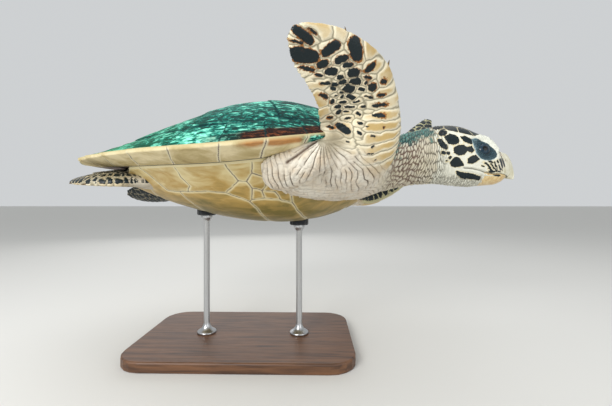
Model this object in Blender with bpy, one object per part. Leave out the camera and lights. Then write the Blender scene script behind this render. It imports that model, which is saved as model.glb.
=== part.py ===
"""Hawksbill sea turtle, life size, swimming, held over the floor by a plain display stand.

Metres, +Z up. The head points to +X and the turtle's right side to -Y. The origin is the centre of the
stand's underside. The turtle itself is drawn from its own origin, which an empty carries: the tip of
the shell over the tail, at the height of the shell's rim.
"""
from math import acos, cos, pi, radians, sin

import bmesh
import bpy
from mathutils import Matrix, Vector

# ---- driving dimensions ----
SHELL_LENGTH = 0.66           # straight carapace length, notch to tail tip
SHELL_HALF_WIDTH = 0.257      # widest half width, ahead of the middle
RIM_HEIGHT = 0.38             # shell rim over the floor
TAIL_TO_STAND = 0.36          # tail tip back of the stand's centre
GAP = 0.0003                  # between touching pieces

RIM_RISE_REAR = 0.008         # how far the rim rises to the tail
RIM_RISE_FRONT = 0.065        # and to the neck
RIM_LOW_AT = 0.45             # share of the length where the rim is lowest
CROWN_ARCH = 0.077            # height of the dome over the line from tail to neck
RIM_THICKNESS = 0.005
RIM_INSET = 0.057             # underside of the rim, from edge to seam
RIM_DROP = 0.018              # seam below the edge
MARGINALS = 12                # rim plates on each side
SERRATION = 0.005             # how far the rear rim plates stand out at their corners
BELLY_DEPTH = 0.115           # lowest point of the plastron below the rim
PLASTRON_THICKNESS = 0.012
PLASTRON_EDGE = 0.003

EYE_RADIUS = 0.0175
EYE_CENTRE = Vector((0.841, 0.0320, 0.0250))

STAND_SIZE = (0.44, 0.28, 0.02)
ROD_RADIUS = 0.0065
PAD_RADIUS = 0.020
ROD_PLACES = {"rear": 0.27, "front": 0.47}   # distance ahead of the tail tip

# Trunk, neck and head are one row of cross-sections: distance ahead of the tail tip, half width,
# lowest and highest point from the rim's level, squareness (1 is an ellipse), extra width on top.
BODY = [
    (0.095, 0.032, -0.028, -0.006, 1.00, 0.00),
    (0.125, 0.066, -0.032, -0.004, 0.95, 0.00),
    (0.180, 0.106, -0.050, -0.002, 0.95, 0.00),
    (0.250, 0.138, -0.063, 0.000, 0.95, 0.00),
    (0.330, 0.156, -0.074, 0.000, 1.00, 0.00),
    (0.420, 0.158, -0.084, 0.002, 1.00, 0.00),
    (0.480, 0.156, -0.086, 0.010, 0.95, 0.00),
    (0.530, 0.146, -0.084, 0.022, 0.92, 0.00),
    (0.575, 0.127, -0.077, 0.036, 0.92, 0.00),
    (0.610, 0.103, -0.067, 0.047, 0.95, 0.00),
    (0.640, 0.080, -0.056, 0.055, 1.00, 0.00),
    (0.672, 0.062, -0.047, 0.060, 1.00, 0.00),
    (0.702, 0.056, -0.0415, 0.0680, 1.00, 0.00),
    (0.735, 0.055, -0.0390, 0.0760, 1.00, 0.00),
    (0.762, 0.0555, -0.0390, 0.0815, 0.96, 0.03),
    (0.785, 0.0565, -0.0415, 0.0825, 0.92, 0.06),
    (0.809, 0.0550, -0.0440, 0.0780, 0.90, 0.08),
    (0.834, 0.0505, -0.0450, 0.0680, 0.88, 0.08),
    (0.852, 0.0455, -0.0430, 0.0615, 0.88, 0.06),
    (0.870, 0.0385, -0.0415, 0.0570, 0.90, 0.00),
    (0.885, 0.0315, -0.0400, 0.0495, 0.93, -0.05),
    (0.897, 0.0250, -0.0370, 0.0395, 0.96, -0.08),
    (0.909, 0.0180, -0.0325, 0.0280, 1.00, -0.10),
    (0.918, 0.0120, -0.0295, 0.0150, 1.00, -0.10),
    (0.9255, 0.0050, -0.0275, -0.0080, 1.00, 0.00),
]
NECK_STARTS, HEAD_STARTS, BEAK_STARTS = 0.672, 0.772, 0.888
MOUTH_CORNER, MOUTH_FRONT = Vector((0.806, 0, -0.008)), Vector((0.911, 0, -0.0255))

# Flippers: centre line, width across, thickness, from inside the body to the tip.
FRONT_RIGHT = [
    ((0.536, -0.072, -0.036), 0.084, 0.050),
    ((0.550, -0.102, -0.033), 0.106, 0.064),
    ((0.564, -0.132, -0.023), 0.122, 0.067),
    ((0.575, -0.163, -0.002), 0.131, 0.056),
    ((0.577, -0.186, 0.026), 0.135, 0.043),
    ((0.571, -0.206, 0.057), 0.128, 0.034),
    ((0.558, -0.236, 0.082), 0.118, 0.027),
    ((0.540, -0.262, 0.096), 0.101, 0.022),
    ((0.518, -0.284, 0.107), 0.083, 0.017),
    ((0.498, -0.300, 0.115), 0.065, 0.013),
    ((0.482, -0.314, 0.1215), 0.040, 0.010),
    ((0.472, -0.321, 0.125), 0.016, 0.007),
]
FRONT_LEFT = [
    ((0.536, 0.072, -0.038), 0.084, 0.050),
    ((0.560, 0.102, -0.040), 0.102, 0.064),
    ((0.595, 0.134, -0.040), 0.116, 0.060),
    ((0.645, 0.162, -0.030), 0.121, 0.046),
    ((0.700, 0.187, 0.000), 0.118, 0.035),
    ((0.746, 0.209, 0.042), 0.107, 0.027),
    ((0.783, 0.232, 0.086), 0.088, 0.020),
    ((0.813, 0.253, 0.128), 0.060, 0.013),
    ((0.838, 0.270, 0.165), 0.020, 0.007),
]
HIND_RIGHT = [
    ((0.200, -0.076, -0.036), 0.050, 0.036),
    ((0.168, -0.096, -0.035), 0.064, 0.034),
    ((0.134, -0.106, -0.032), 0.082, 0.025),
    ((0.096, -0.099, -0.030), 0.085, 0.017),
    ((0.060, -0.083, -0.031), 0.062, 0.011),
    ((0.040, -0.073, -0.034), 0.020, 0.007),
]
HIND_LEFT = [
    ((0.200, 0.076, -0.038), 0.050, 0.036),
    ((0.170, 0.098, -0.042), 0.064, 0.034),
    ((0.138, 0.111, -0.049), 0.082, 0.025),
    ((0.100, 0.108, -0.054), 0.086, 0.017),
    ((0.064, 0.096, -0.055), 0.062, 0.011),
    ((0.046, 0.088, -0.054), 0.020, 0.007),
]
# Each flipper's underside faces this way.
PALMS = {
    "flipper_front_right": Vector((0.28, -0.72, -0.63)),
    "flipper_front_left": Vector((0.20, 0.84, -0.50)),
    "flipper_hind_right": Vector((0.10, 0.36, -0.93)),
    "flipper_hind_left": Vector((0.15, -0.50, -0.85)),
}
CLAW_PLACES = {"front": (0.55, 0.73), "hind": (0.52, 0.70)}   # share of the flipper's length
CLAW_SIZES = {"front": (0.009, 0.007), "hind": (0.008, 0.0055)}
TAIL = [
    ((0.104, 0.0, -0.0185), 0.040, 0.011),
    ((0.080, 0.0, -0.0185), 0.038, 0.017),
    ((0.050, 0.0, -0.018), 0.026, 0.016),
    ((0.028, 0.0, -0.016), 0.013, 0.011),
    ((0.016, 0.0, -0.014), 0.006, 0.006),
]


# ---- small tools ----
def material(name, colour, roughness=0.5, metallic=0.0):
    made = bpy.data.materials.new(name)
    made.use_nodes = True
    shader = made.node_tree.nodes["Principled BSDF"]
    shader.inputs["Base Color"].default_value = (*colour, 1.0)
    shader.inputs["Roughness"].default_value = roughness
    shader.inputs["Metallic"].default_value = metallic
    return made


def curve_through(rows, steps):
    """Rows of numbers or vectors, read as a smooth curve with this many steps between each two."""
    flat = [[*Vector(row[0]), *row[1:]] if isinstance(row[0], (tuple, Vector)) else list(row) for row in rows]
    padded = [flat[0], *flat, flat[-1]]
    found = []
    for i in range(len(flat) - 1):
        before, a, b, after = padded[i:i + 4]
        for step in range(steps):
            u = step / steps
            found.append([
                0.5 * (2 * p1 + (p2 - p0) * u + (2 * p0 - 5 * p1 + 4 * p2 - p3) * u * u
                       + (3 * p1 - p0 - 3 * p2 + p3) * u ** 3)
                for p0, p1, p2, p3 in zip(before, a, b, after)
            ])
    return [*found, flat[-1]]


def value_at(rows, x, column):
    """A column of rows at distance x, straight between the rows."""
    for a, b in zip(rows, rows[1:]):
        if a[0] <= x <= b[0]:
            return a[column] + (b[column] - a[column]) * (x - a[0]) / (b[0] - a[0])
    return rows[0][column] if x < rows[0][0] else rows[-1][column]


def place(name, mesh, look, parent=None):
    obj = bpy.data.objects.new(name, mesh)
    bpy.context.scene.collection.objects.link(obj)
    if look:
        mesh.materials.append(look)
    obj.parent = parent
    return obj


def loft(name, rings, look, parent=None):
    """A closed body through rings of points, with flat ends."""
    mesh = bpy.data.meshes.new(name)
    body = bmesh.new()
    rows = [[body.verts.new(point) for point in ring] for ring in rings]
    count = len(rows[0])
    for row, following in zip(rows, rows[1:]):
        for i in range(count):
            j = (i + 1) % count
            body.faces.new((row[i], row[j], following[j], following[i]))
    body.faces.new(rows[0][::-1])
    body.faces.new(rows[-1])
    bmesh.ops.recalc_face_normals(body, faces=body.faces)
    bmesh.ops.triangulate(body, faces=body.faces)
    body.to_mesh(mesh)
    body.free()
    mesh.shade_smooth()
    mesh.set_sharp_from_angle(angle=radians(40))
    return place(name, mesh, look, parent)


def cutter(name, mesh, parent=None):
    obj = place(name, mesh, None, parent)
    obj.hide_render = True
    obj.display_type = "WIRE"
    return obj


def grown(obj, by=GAP):
    """A cutter that is this object, a little larger all round."""
    mesh = obj.data.copy()
    mesh.name = obj.name + "_grown"
    moves = [vertex.normal * by for vertex in mesh.vertices]
    for vertex, move in zip(mesh.vertices, moves):
        vertex.co += move
    return cutter(mesh.name, mesh, obj.parent)


def box_cutter(name, low, high, parent=None):
    mesh = bpy.data.meshes.new(name)
    body = bmesh.new()
    bmesh.ops.create_cube(body, size=1)
    for vertex in body.verts:
        vertex.co = Vector([a + (b - a) * (c + 0.5) for a, b, c in zip(low, high, vertex.co)])
    body.to_mesh(mesh)
    body.free()
    return cutter(name, mesh, parent)


def boolean(obj, other, operation="DIFFERENCE"):
    modifier = obj.modifiers.new(operation.lower() + "_" + other.name, "BOOLEAN")
    modifier.operation = operation
    modifier.object = other
    modifier.solver = "EXACT"


# ---- the shell ----
def outline(t):
    """Half width of the shell at a share t of its length, from the tail."""
    fall = 0.55 if t < 0.58 else 0.62
    return SHELL_HALF_WIDTH * max(sin(pi * t ** 1.27), 0.0) ** fall


def rim_height(t):
    if t < RIM_LOW_AT:
        return RIM_RISE_REAR * ((RIM_LOW_AT - t) / RIM_LOW_AT) ** 2
    return RIM_RISE_FRONT * ((t - RIM_LOW_AT) / (1 - RIM_LOW_AT)) ** 2


def crown_height(t):
    line = RIM_RISE_REAR + (RIM_RISE_FRONT + 0.003 - RIM_RISE_REAR) * t
    return line + CROWN_ARCH * max(sin(pi * t ** 1.36), 0.0) ** 1.65


def seam_half_width(t):
    return outline(t) - min(RIM_INSET, 0.55 * outline(t))


def seam_height(t):
    return rim_height(t) - 0.004 - (RIM_DROP - 0.004) * sin(pi * t) ** 0.5


def belly_height(t, y):
    """Underside of the trunk, bowl shaped, from seam to seam."""
    share = min(max((t - 0.10) / 0.87, 0.0), 1.0)
    depth = BELLY_DEPTH * max(sin(pi * share ** 1.51), 0.0) ** 0.45
    side = seam_height(t)
    across = min(abs(y) / seam_half_width(t), 1.0)
    return side - max(depth + side, 0.0) * (1 - across ** 3) ** 1.4


def rim_stations():
    """Shares of the length at the rear corner, middle and front corner of each rim plate."""
    steps = 2000
    run, walk = [0.0], [0.0]
    for i in range(1, steps + 1):
        here, before = i / steps, (i - 1) / steps
        dx = SHELL_LENGTH / steps
        dy = outline(here) - outline(before)
        run.append(run[-1] + (dx * dx + dy * dy) ** 0.5)
        walk.append(here)
    plate = run[-1] / MARGINALS
    found = []
    for k in range(MARGINALS):
        for share in (0.04, 0.5, 0.96):
            want = (k + share) * plate
            found.append((value_at(list(zip(run, walk)), want, 1), k, share))
    return found


def carapace(look, parent):
    rings = []
    for t, k, share in rim_stations():
        t = min(max(t, 0.012), 0.994)
        half = outline(t)
        slope = (outline(min(t + 0.01, 1)) - outline(max(t - 0.01, 0))) / (0.02 * SHELL_LENGTH)
        outward = Vector((-slope, 1.0)).normalized()
        tooth = SERRATION * (1 - share) * max(0.0, 1 - k / 7) * (0.4 if k == 0 else 1.0)
        inset = min(RIM_INSET, 0.55 * half)
        ring = []
        for i in range(15):
            across = -cos(pi * i / 14)
            z = rim_height(t) + (crown_height(t) - rim_height(t)) * (1 - abs(across) ** 2.2)
            push = tooth * abs(across) ** 8
            side = 1 if across > 0 else -1
            ring.append(Vector((t * SHELL_LENGTH + outward.x * push,
                                across * half + side * outward.y * push,
                                z + RIM_THICKNESS / 2 * abs(across) ** 8)))
        for side in (1, -1):
            edge = Vector((t * SHELL_LENGTH + outward.x * tooth * 0.9,
                           side * (half - 0.001 + outward.y * tooth * 0.9),
                           rim_height(t) - RIM_THICKNESS / 2))
            seam = Vector((t * SHELL_LENGTH, side * (half - inset), seam_height(t)))
            ring += [edge, seam] if side == 1 else [seam, edge]
        rings.append(ring)
    return loft("carapace", rings, look, parent)


def plastron_plan(t):
    """Half width of the belly plate: two lobes, and the bridge out to the rim between them."""
    lobes = [(0.15, 0.018), (0.158, 0.036), (0.175, 0.056), (0.20, 0.076), (0.225, 0.092)]
    front = [(0.705, 0.140), (0.75, 0.114), (0.82, 0.094), (0.865, 0.072), (0.89, 0.048), (0.90, 0.020)]
    if t <= lobes[-1][0]:
        return value_at(lobes, t, 1)
    if t >= front[0][0]:
        return value_at(front, t, 1)
    bridge_from, bridge_to = 0.26, 0.66
    full = seam_half_width(t)
    if t < bridge_from:
        share = (t - lobes[-1][0]) / (bridge_from - lobes[-1][0])
        return lobes[-1][1] + (full - lobes[-1][1]) * sin(share * pi / 2)
    if t > bridge_to:
        share = (front[0][0] - t) / (front[0][0] - bridge_to)
        return front[0][1] + (full - front[0][1]) * sin(share * pi / 2)
    return full


def plastron(look, parent):
    stations = [0.15, 0.158, 0.175, 0.20, 0.225, 0.235, 0.245, 0.26, 0.30, 0.36, 0.42, 0.48,
                0.54, 0.60, 0.66, 0.675, 0.69, 0.705, 0.75, 0.785, 0.82, 0.845, 0.865, 0.88, 0.89, 0.90]
    rings = []
    for t in stations:
        half = plastron_plan(t)
        lower, upper = [], []
        for i in range(11):
            y = -half * cos(pi * i / 10)
            lower.append(Vector((t * SHELL_LENGTH, y, belly_height(t, y) - PLASTRON_EDGE)))
        for i in range(9, 0, -2):
            y = -(half - 0.003) * cos(pi * i / 10)
            top = belly_height(t, y) + PLASTRON_THICKNESS * (1 - 0.6 * cos(pi * i / 10) ** 6)
            upper.append(Vector((t * SHELL_LENGTH, y, min(top, seam_height(t) - GAP))))
        rings.append(lower + upper)
    return loft("plastron", rings, look, parent)


# ---- the flesh ----
def body_ring(row, count=20):
    x, half, low, high, square, top_heavy = row
    middle, tall = (low + high) / 2, (high - low) / 2
    ring = []
    for i in range(count):
        angle = 2 * pi * i / count
        c, s = cos(angle), sin(angle)
        y = half * (1 + top_heavy * s) * (1 if c > 0 else -1) * abs(c) ** square
        ring.append(Vector((x, y, middle + tall * (1 if s > 0 else -1) * abs(s) ** square)))
    return ring


def body_part(name, start, end, look, parent, steps=2):
    """The stretch of the body between two distances, less half a gap at each cut."""
    rows = [row for row in curve_through(BODY, steps) if start < row[0] < end]
    ends = []
    for x, inward in ((start, GAP / 2), (end, -GAP / 2)):
        if BODY[0][0] < x < BODY[-1][0]:
            dense = curve_through(BODY, 12)
            ends.append([x + inward] + [value_at(dense, x, column) for column in range(1, 6)])
        else:
            ends.append(None)
    margin = 0.004
    rows = [row for row in rows
            if (not ends[0] or row[0] > start + margin) and (not ends[1] or row[0] < end - margin)]
    rows = [row for row in [ends[0], *rows, ends[1]] if row]
    return loft(name, [body_ring(row) for row in rows], look, parent)


def flipper_frames(rows, palm, right):
    """Centre, direction, leading side and underside at each row of a flipper."""
    frames = []
    for i, row in enumerate(rows):
        before, after = rows[max(i - 1, 0)], rows[min(i + 1, len(rows) - 1)]
        along = (Vector(after[:3]) - Vector(before[:3])).normalized()
        leading = along.cross(palm) if right else palm.cross(along)
        leading.normalize()
        under = leading.cross(along) if right else along.cross(leading)
        frames.append((Vector(row[:3]), along, leading, under.normalized()))
    return frames


def flipper(name, rows, look, parent, steps=2, count=14):
    """A paddle: thick and round in front, thin behind."""
    rows = curve_through(rows, steps)
    rings = []
    for row, (centre, _, leading, under) in zip(rows, flipper_frames(rows, PALMS[name], "right" in name)):
        width, thick = row[3], row[4]
        ring = []
        for i in range(count):
            angle = 2 * pi * i / count
            across, up = cos(angle), sin(angle)
            body = 0.62 + 0.38 * across if thick < 0.035 else 1.0
            ring.append(centre + leading * (across * width / 2) + under * (up * body * thick / 2))
        rings.append(ring)
    return loft(name, rings, look, parent)


def claw(name, rows, palm, right, share, size, look, parent):
    """A short curved horn on the leading edge, pointing out and towards the tip."""
    dense = curve_through(rows, 20)
    frames = flipper_frames(dense, palm, right)
    at = round(share * (len(dense) - 1))
    centre, along, leading, under = frames[at]
    root = centre + leading * (dense[at][3] / 2 - 0.004)
    rings = []
    for i in range(5):
        u = i / 4
        spine = root + leading * (size * u) + along * (size * u * u)
        radius = size * 0.34 * (1 - u) ** 0.7 + 0.0005
        rings.append([
            spine + along * (radius * cos(2 * pi * j / 8)) + under * (radius * 0.8 * sin(2 * pi * j / 8))
            for j in range(8)
        ])
    return loft(name, rings, look, parent)


def tail(look, parent):
    rings = []
    for row in curve_through(TAIL, 2):
        x, y, z, width, tall = row
        rings.append([Vector((x, y + width / 2 * cos(2 * pi * i / 14), z + tall / 2 * sin(2 * pi * i / 14)))
                      for i in range(14)])
    return loft("tail", rings, look, parent)


def eye(name, side, look, parent):
    mesh = bpy.data.meshes.new(name)
    ball = bmesh.new()
    bmesh.ops.create_uvsphere(ball, u_segments=14, v_segments=8, radius=EYE_RADIUS)
    turn = Matrix.Rotation(pi / 2, 4, "X")
    centre = Vector((EYE_CENTRE.x, side * EYE_CENTRE.y, EYE_CENTRE.z))
    for vertex in ball.verts:
        vertex.co = turn @ vertex.co + centre
    ball.to_mesh(mesh)
    ball.free()
    mesh.shade_smooth()
    return place(name, mesh, look, parent)


def wedge(name, corners, parent):
    """A cutter through the whole head: an outline seen from the side, pushed across."""
    reach = 0.1
    mesh = bpy.data.meshes.new(name)
    body = bmesh.new()
    near = [body.verts.new((x, -reach, z)) for x, z in corners]
    far = [body.verts.new((x, reach, z)) for x, z in corners]
    count = len(corners)
    body.faces.new(near)
    body.faces.new(far[::-1])
    for i in range(count):
        j = (i + 1) % count
        body.faces.new((near[j], near[i], far[i], far[j]))
    bmesh.ops.recalc_face_normals(body, faces=body.faces)
    body.to_mesh(mesh)
    body.free()
    return cutter(name, mesh, parent)


def head_and_beak(look, horn, parent):
    """The head, and the horn beak in front of it: an upper half whose hook laps over the lower half."""
    slope = (MOUTH_FRONT.z - MOUTH_CORNER.z) / (MOUTH_FRONT.x - MOUTH_CORNER.x)
    half = GAP / 2
    back, front = BEAK_STARTS, BODY[-1][0] + 0.02
    mouth_back = MOUTH_CORNER.z + slope * (back - MOUTH_CORNER.x)
    hook = MOUTH_FRONT.x
    low, high = -0.08, 0.12
    head = body_part("head", HEAD_STARTS, 1.0, look, parent)
    whole = head.data
    upper = place("beak_upper", whole.copy(), None, parent)
    lower = place("beak_lower", whole.copy(), None, parent)
    for piece in (upper, lower):
        piece.data.materials.clear()
        piece.data.materials.append(horn)
    behind = wedge("cut_head", [(0.7, low), (back - half, low), (back - half, high), (0.7, high)], parent)
    above = wedge("cut_beak_upper", [
        (back + half, mouth_back + half), (hook + half, MOUTH_FRONT.z + half),
        (hook + half, low), (front, low), (front, high), (back + half, high)], parent)
    below = wedge("cut_beak_lower", [
        (back + half, low), (hook - half, low), (hook - half, MOUTH_FRONT.z - half),
        (back + half, mouth_back - half)], parent)
    boolean(head, behind, "INTERSECT")
    boolean(upper, above, "INTERSECT")
    boolean(lower, below, "INTERSECT")
    return head


# ---- the stand ----
def stand_base(look):
    mesh = bpy.data.meshes.new("stand_base")
    body = bmesh.new()
    long, wide, tall = STAND_SIZE
    corner = 0.05
    ring = []
    for cx, cy, start in ((1, 1, 0), (-1, 1, 90), (-1, -1, 180), (1, -1, 270)):
        for i in range(6):
            angle = radians(start + 90 * i / 5)
            ring.append(body.verts.new((cx * (long / 2 - corner) + corner * cos(angle),
                                        cy * (wide / 2 - corner) + corner * sin(angle), 0)))
    face = body.faces.new(ring)
    made = bmesh.ops.extrude_face_region(body, geom=[face])
    moved = [item for item in made["geom"] if isinstance(item, bmesh.types.BMVert)]
    bmesh.ops.translate(body, verts=moved, vec=(0, 0, tall))
    bmesh.ops.recalc_face_normals(body, faces=body.faces)
    body.to_mesh(mesh)
    body.free()
    base = place("stand_base", mesh, look)
    bevel = base.modifiers.new("edge", "BEVEL")
    bevel.width, bevel.segments = 0.003, 2
    return base


def turned(name, profile, x, look, count=14):
    """A round piece on an upright axis, from its radius at each height."""
    rings = [[Vector((x + radius * cos(2 * pi * i / count), radius * sin(2 * pi * i / count), z))
              for i in range(count)] for radius, z in profile]
    return loft(name, rings, look)


def stand(wood, steel, felt, belly):
    stand_base(wood)
    top = STAND_SIZE[2] + GAP
    foot_radius, cup_radius = 0.020, 0.012
    for name, ahead in ROD_PLACES.items():
        x = ahead - TAIL_TO_STAND
        shell = RIM_HEIGHT + belly_height(ahead / SHELL_LENGTH, 0) - PLASTRON_EDGE
        pad_low = shell - 0.011
        turned("stand_rod_" + name, [
            (foot_radius, top), (foot_radius, top + 0.004), (0.011, top + 0.010), (ROD_RADIUS, top + 0.022),
            (ROD_RADIUS, pad_low - 0.014), (cup_radius, pad_low - 0.005), (cup_radius, pad_low - GAP),
        ], x, steel)
        pad = turned("stand_pad_" + name, [
            (PAD_RADIUS - 0.002, pad_low), (PAD_RADIUS, pad_low + 0.002), (PAD_RADIUS, shell + 0.005),
        ], x, felt)
        boolean(pad, belly)


def main():
    for obj in list(bpy.data.objects):
        bpy.data.objects.remove(obj)
    skin = material("skin", (0.80, 0.72, 0.52), 0.55)
    dark_skin = material("dark skin", (0.42, 0.38, 0.26), 0.55)
    shell = material("carapace horn", (0.05, 0.16, 0.12), 0.35)
    belly = material("plastron horn", (0.76, 0.66, 0.42), 0.4)
    beak = material("beak horn", (0.80, 0.66, 0.36), 0.35)
    eyeball = material("eye", (0.02, 0.025, 0.03), 0.08)
    nail = material("claw horn", (0.45, 0.35, 0.18), 0.4)
    wood = material("stand wood", (0.10, 0.07, 0.05), 0.45)
    steel = material("stand steel", (0.35, 0.35, 0.36), 0.3, 1.0)
    felt = material("stand felt", (0.05, 0.05, 0.05), 0.9)

    turtle = bpy.data.objects.new("turtle", None)
    bpy.context.scene.collection.objects.link(turtle)
    turtle.location = (-TAIL_TO_STAND, 0, RIM_HEIGHT)

    top = carapace(shell, turtle)
    bottom = plastron(belly, turtle)
    top_grown, bottom_grown = grown(top, 2 * GAP), grown(bottom, 2 * GAP)

    trunk = body_part("trunk", 0.0, NECK_STARTS, skin, turtle, steps=1)
    trunk_grown = grown(trunk)
    neck = body_part("neck", NECK_STARTS, HEAD_STARTS, skin, turtle)
    neck_grown = grown(neck)
    head = head_and_beak(skin, beak, turtle)
    for side, name in ((-1, "eye_right"), (1, "eye_left")):
        ball = eye(name, side, eyeball, turtle)
        boolean(head, grown(ball))
    for shell_part in (top_grown, bottom_grown):
        boolean(trunk, shell_part)
    boolean(neck, top_grown)

    limbs = {
        "flipper_front_right": FRONT_RIGHT,
        "flipper_front_left": FRONT_LEFT,
        "flipper_hind_right": HIND_RIGHT,
        "flipper_hind_left": HIND_LEFT,
    }
    for name, rows in limbs.items():
        limb = flipper(name, rows, skin, turtle)
        limb_grown = grown(limb)
        for other in (trunk_grown, top_grown, bottom_grown, neck_grown):
            boolean(limb, other)
        _, end, side = name.split("_")
        for number, share in enumerate(CLAW_PLACES[end], 1):
            size = CLAW_SIZES[end][number - 1]
            label = f"claw_{end}_{side}_{number}"
            horn = claw(label, rows, PALMS[name], side == "right", share, size, nail, turtle)
            boolean(horn, limb_grown)
    stub = tail(dark_skin, turtle)
    for other in (trunk_grown, top_grown, bottom_grown):
        boolean(stub, other)
    stand(wood, steel, felt, bottom_grown)


main()
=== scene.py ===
from math import cos, pi, radians, sin, sqrt
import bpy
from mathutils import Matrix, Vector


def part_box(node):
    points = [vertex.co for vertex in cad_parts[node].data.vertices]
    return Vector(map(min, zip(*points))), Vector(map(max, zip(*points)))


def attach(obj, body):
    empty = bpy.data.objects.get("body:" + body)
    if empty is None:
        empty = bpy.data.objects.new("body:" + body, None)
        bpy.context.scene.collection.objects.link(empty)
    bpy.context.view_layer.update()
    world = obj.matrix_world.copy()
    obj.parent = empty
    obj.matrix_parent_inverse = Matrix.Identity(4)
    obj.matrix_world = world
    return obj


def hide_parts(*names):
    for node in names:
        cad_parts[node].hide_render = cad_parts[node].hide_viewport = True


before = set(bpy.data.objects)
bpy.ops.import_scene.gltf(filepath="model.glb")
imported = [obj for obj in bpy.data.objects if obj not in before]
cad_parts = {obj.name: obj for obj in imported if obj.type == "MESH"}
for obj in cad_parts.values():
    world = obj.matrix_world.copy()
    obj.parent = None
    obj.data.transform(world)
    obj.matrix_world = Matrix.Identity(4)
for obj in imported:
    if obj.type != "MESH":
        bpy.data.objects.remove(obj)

from types import SimpleNamespace

import bmesh
import bpy
import numpy as np
from mathutils import Vector
from mathutils.kdtree import KDTree

scene = bpy.context.scene
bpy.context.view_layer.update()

# The turtle is drawn from its own origin: the tip of the shell over the tail, at the height of the rim.
# Its eye says where that origin is in the frame.
eyeSpot = np.array([0.841, 0.032, 0.025])
eyeLow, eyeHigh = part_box("eye_left")
home = (np.array(eyeLow) + np.array(eyeHigh)) / 2 - eyeSpot


# tools
def toLinear(code):
    # sRGB hex to the linear values that sockets hold
    parts = [int(code[i:i + 2], 16) / 255 for i in (1, 3, 5)]
    return (*[c / 12.92 if c <= 0.04045 else ((c + 0.055) / 1.055) ** 2.4 for c in parts], 1.0)


mainOutput = {"ShaderNodeMix": 2, "ShaderNodeAttribute": "Fac", "ShaderNodeTexCoord": "Object"}


def feed(node, inputs):
    # an input takes a number, a hex colour, or the main output of another node
    for name, value in inputs.items():
        if isinstance(value, bpy.types.Node):
            node.id_data.links.new(value.outputs[mainOutput.get(value.bl_idname, 0)], node.inputs[name])
        else:
            node.inputs[name].default_value = toLinear(value) if isinstance(value, str) else value


def addNode(tree, kind, inputs=None, stops=(), **settings):
    # one node with its settings and links; stops are the places and colours along a ramp
    node = tree.nodes.new("ShaderNode" + kind)
    for name, value in settings.items():
        setattr(node, name, value)
    feed(node, inputs or {})
    for spot, colour in stops:
        node.color_ramp.elements.new(spot).color = toLinear(colour)
    if stops:                                      # the two ends it came with
        ends = node.color_ramp.elements
        ends.remove(ends[0])
        ends.remove(ends[-1])
    return node


def newMaterial(name):
    made = bpy.data.materials.new(name)
    made.use_nodes = True
    return made, made.node_tree, made.node_tree.nodes["Principled BSDF"]


def smoothStep(low, high, value):
    share = np.clip((value - low) / (high - low), 0.0, 1.0)
    return share * share * (3 - 2 * share)


def blendTo(a, b, share):
    return a + (b - a) * share


def roll(a, b, c, seed):
    # a repeatable random number from 0 to 1 for whole numbers a, b, c
    mixed = (a.astype(np.int64) * 374761393 + b.astype(np.int64) * 668265263
             + np.asarray(c).astype(np.int64) * 2147483647 + seed * 1274126177) & 0xFFFFFFFF
    mixed = ((mixed ^ (mixed >> 13)) * 1274126177) & 0xFFFFFFFF
    mixed = ((mixed ^ (mixed >> 16)) * 2246822519) & 0xFFFFFFFF
    return ((mixed ^ (mixed >> 15)) & 0xFFFFFF) / float(0xFFFFFF)


def softNoise(points, size, seed):
    # value noise from -1 to 1, features about as big as size in metres
    scaled = points / size
    base = np.floor(scaled)
    part = scaled - base
    part = part * part * (3 - 2 * part)
    total = np.zeros(len(points))
    for corner in range(8):
        step = np.array([corner & 1, corner >> 1 & 1, corner >> 2 & 1])
        weight = np.prod(np.where(step, part, 1 - part), axis=1)
        cell = base + step
        total += weight * roll(cell[:, 0], cell[:, 1], cell[:, 2], seed)
    return total * 2 - 1


def wobble(points, *rows):
    # several noises added up: amount, size, seed
    return sum(amount * softNoise(points, size, seed) for amount, size, seed in rows)


def cellField(u, v, seed, jitter=0.42):
    # cells one unit across: distance to the nearest and second nearest centre, and a random per cell
    baseU, baseV = np.floor(u), np.floor(v)
    first = np.full(len(u), 9.0)
    second = np.full(len(u), 9.0)
    owner = np.zeros(len(u))
    for du in (-1, 0, 1):
        for dv in (-1, 0, 1):
            cu, cv = baseU + du, baseV + dv
            dice = [roll(cu, cv, 0 * cu + k, seed) for k in range(3)]
            far = np.hypot(u - cu - 0.5 - jitter * (2 * dice[0] - 1), v - cv - 0.5 - jitter * (2 * dice[1] - 1))
            owner = np.where(far < first, dice[2], owner)
            second = np.where(far < first, first, np.minimum(second, far))
            first = np.minimum(first, far)
    return first, second, owner


def lineDistance(px, pz, corners):
    # metres from a line through the corners
    nearest = np.full(len(px), 9.0)
    for (ax, az), (bx, bz) in zip(corners, corners[1:]):
        along = np.clip(((px - ax) * (bx - ax) + (pz - az) * (bz - az))
                        / ((bx - ax) ** 2 + (bz - az) ** 2), 0, 1)
        nearest = np.minimum(nearest, np.hypot(px - ax - along * (bx - ax), pz - az - along * (bz - az)))
    return nearest


def outlineDistance(px, pz, corners):
    # metres inside (+) or outside (-) a closed outline given in mm
    corners = np.array(corners) / 1000
    inside = np.zeros(len(px), bool)
    for (ax, az), (bx, bz) in zip(corners, np.roll(corners, -1, axis=0)):
        at = ax + (pz - az) / (bz - az + 1e-12) * (bx - ax)
        inside ^= ((az > pz) != (bz > pz)) & (px < at)
    nearest = lineDistance(px, pz, [*corners, corners[0]])
    return np.where(inside, nearest, -nearest)


def nearestOf(points, samples):
    # for each point the nearest of the samples: its number and how far it is
    tree = KDTree(len(samples))
    for i, spot in enumerate(samples):
        tree.insert(spot, i)
    tree.balance()
    found = [tree.find(spot) for spot in points]
    return np.array([item[1] for item in found]), np.array([item[2] for item in found])


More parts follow.
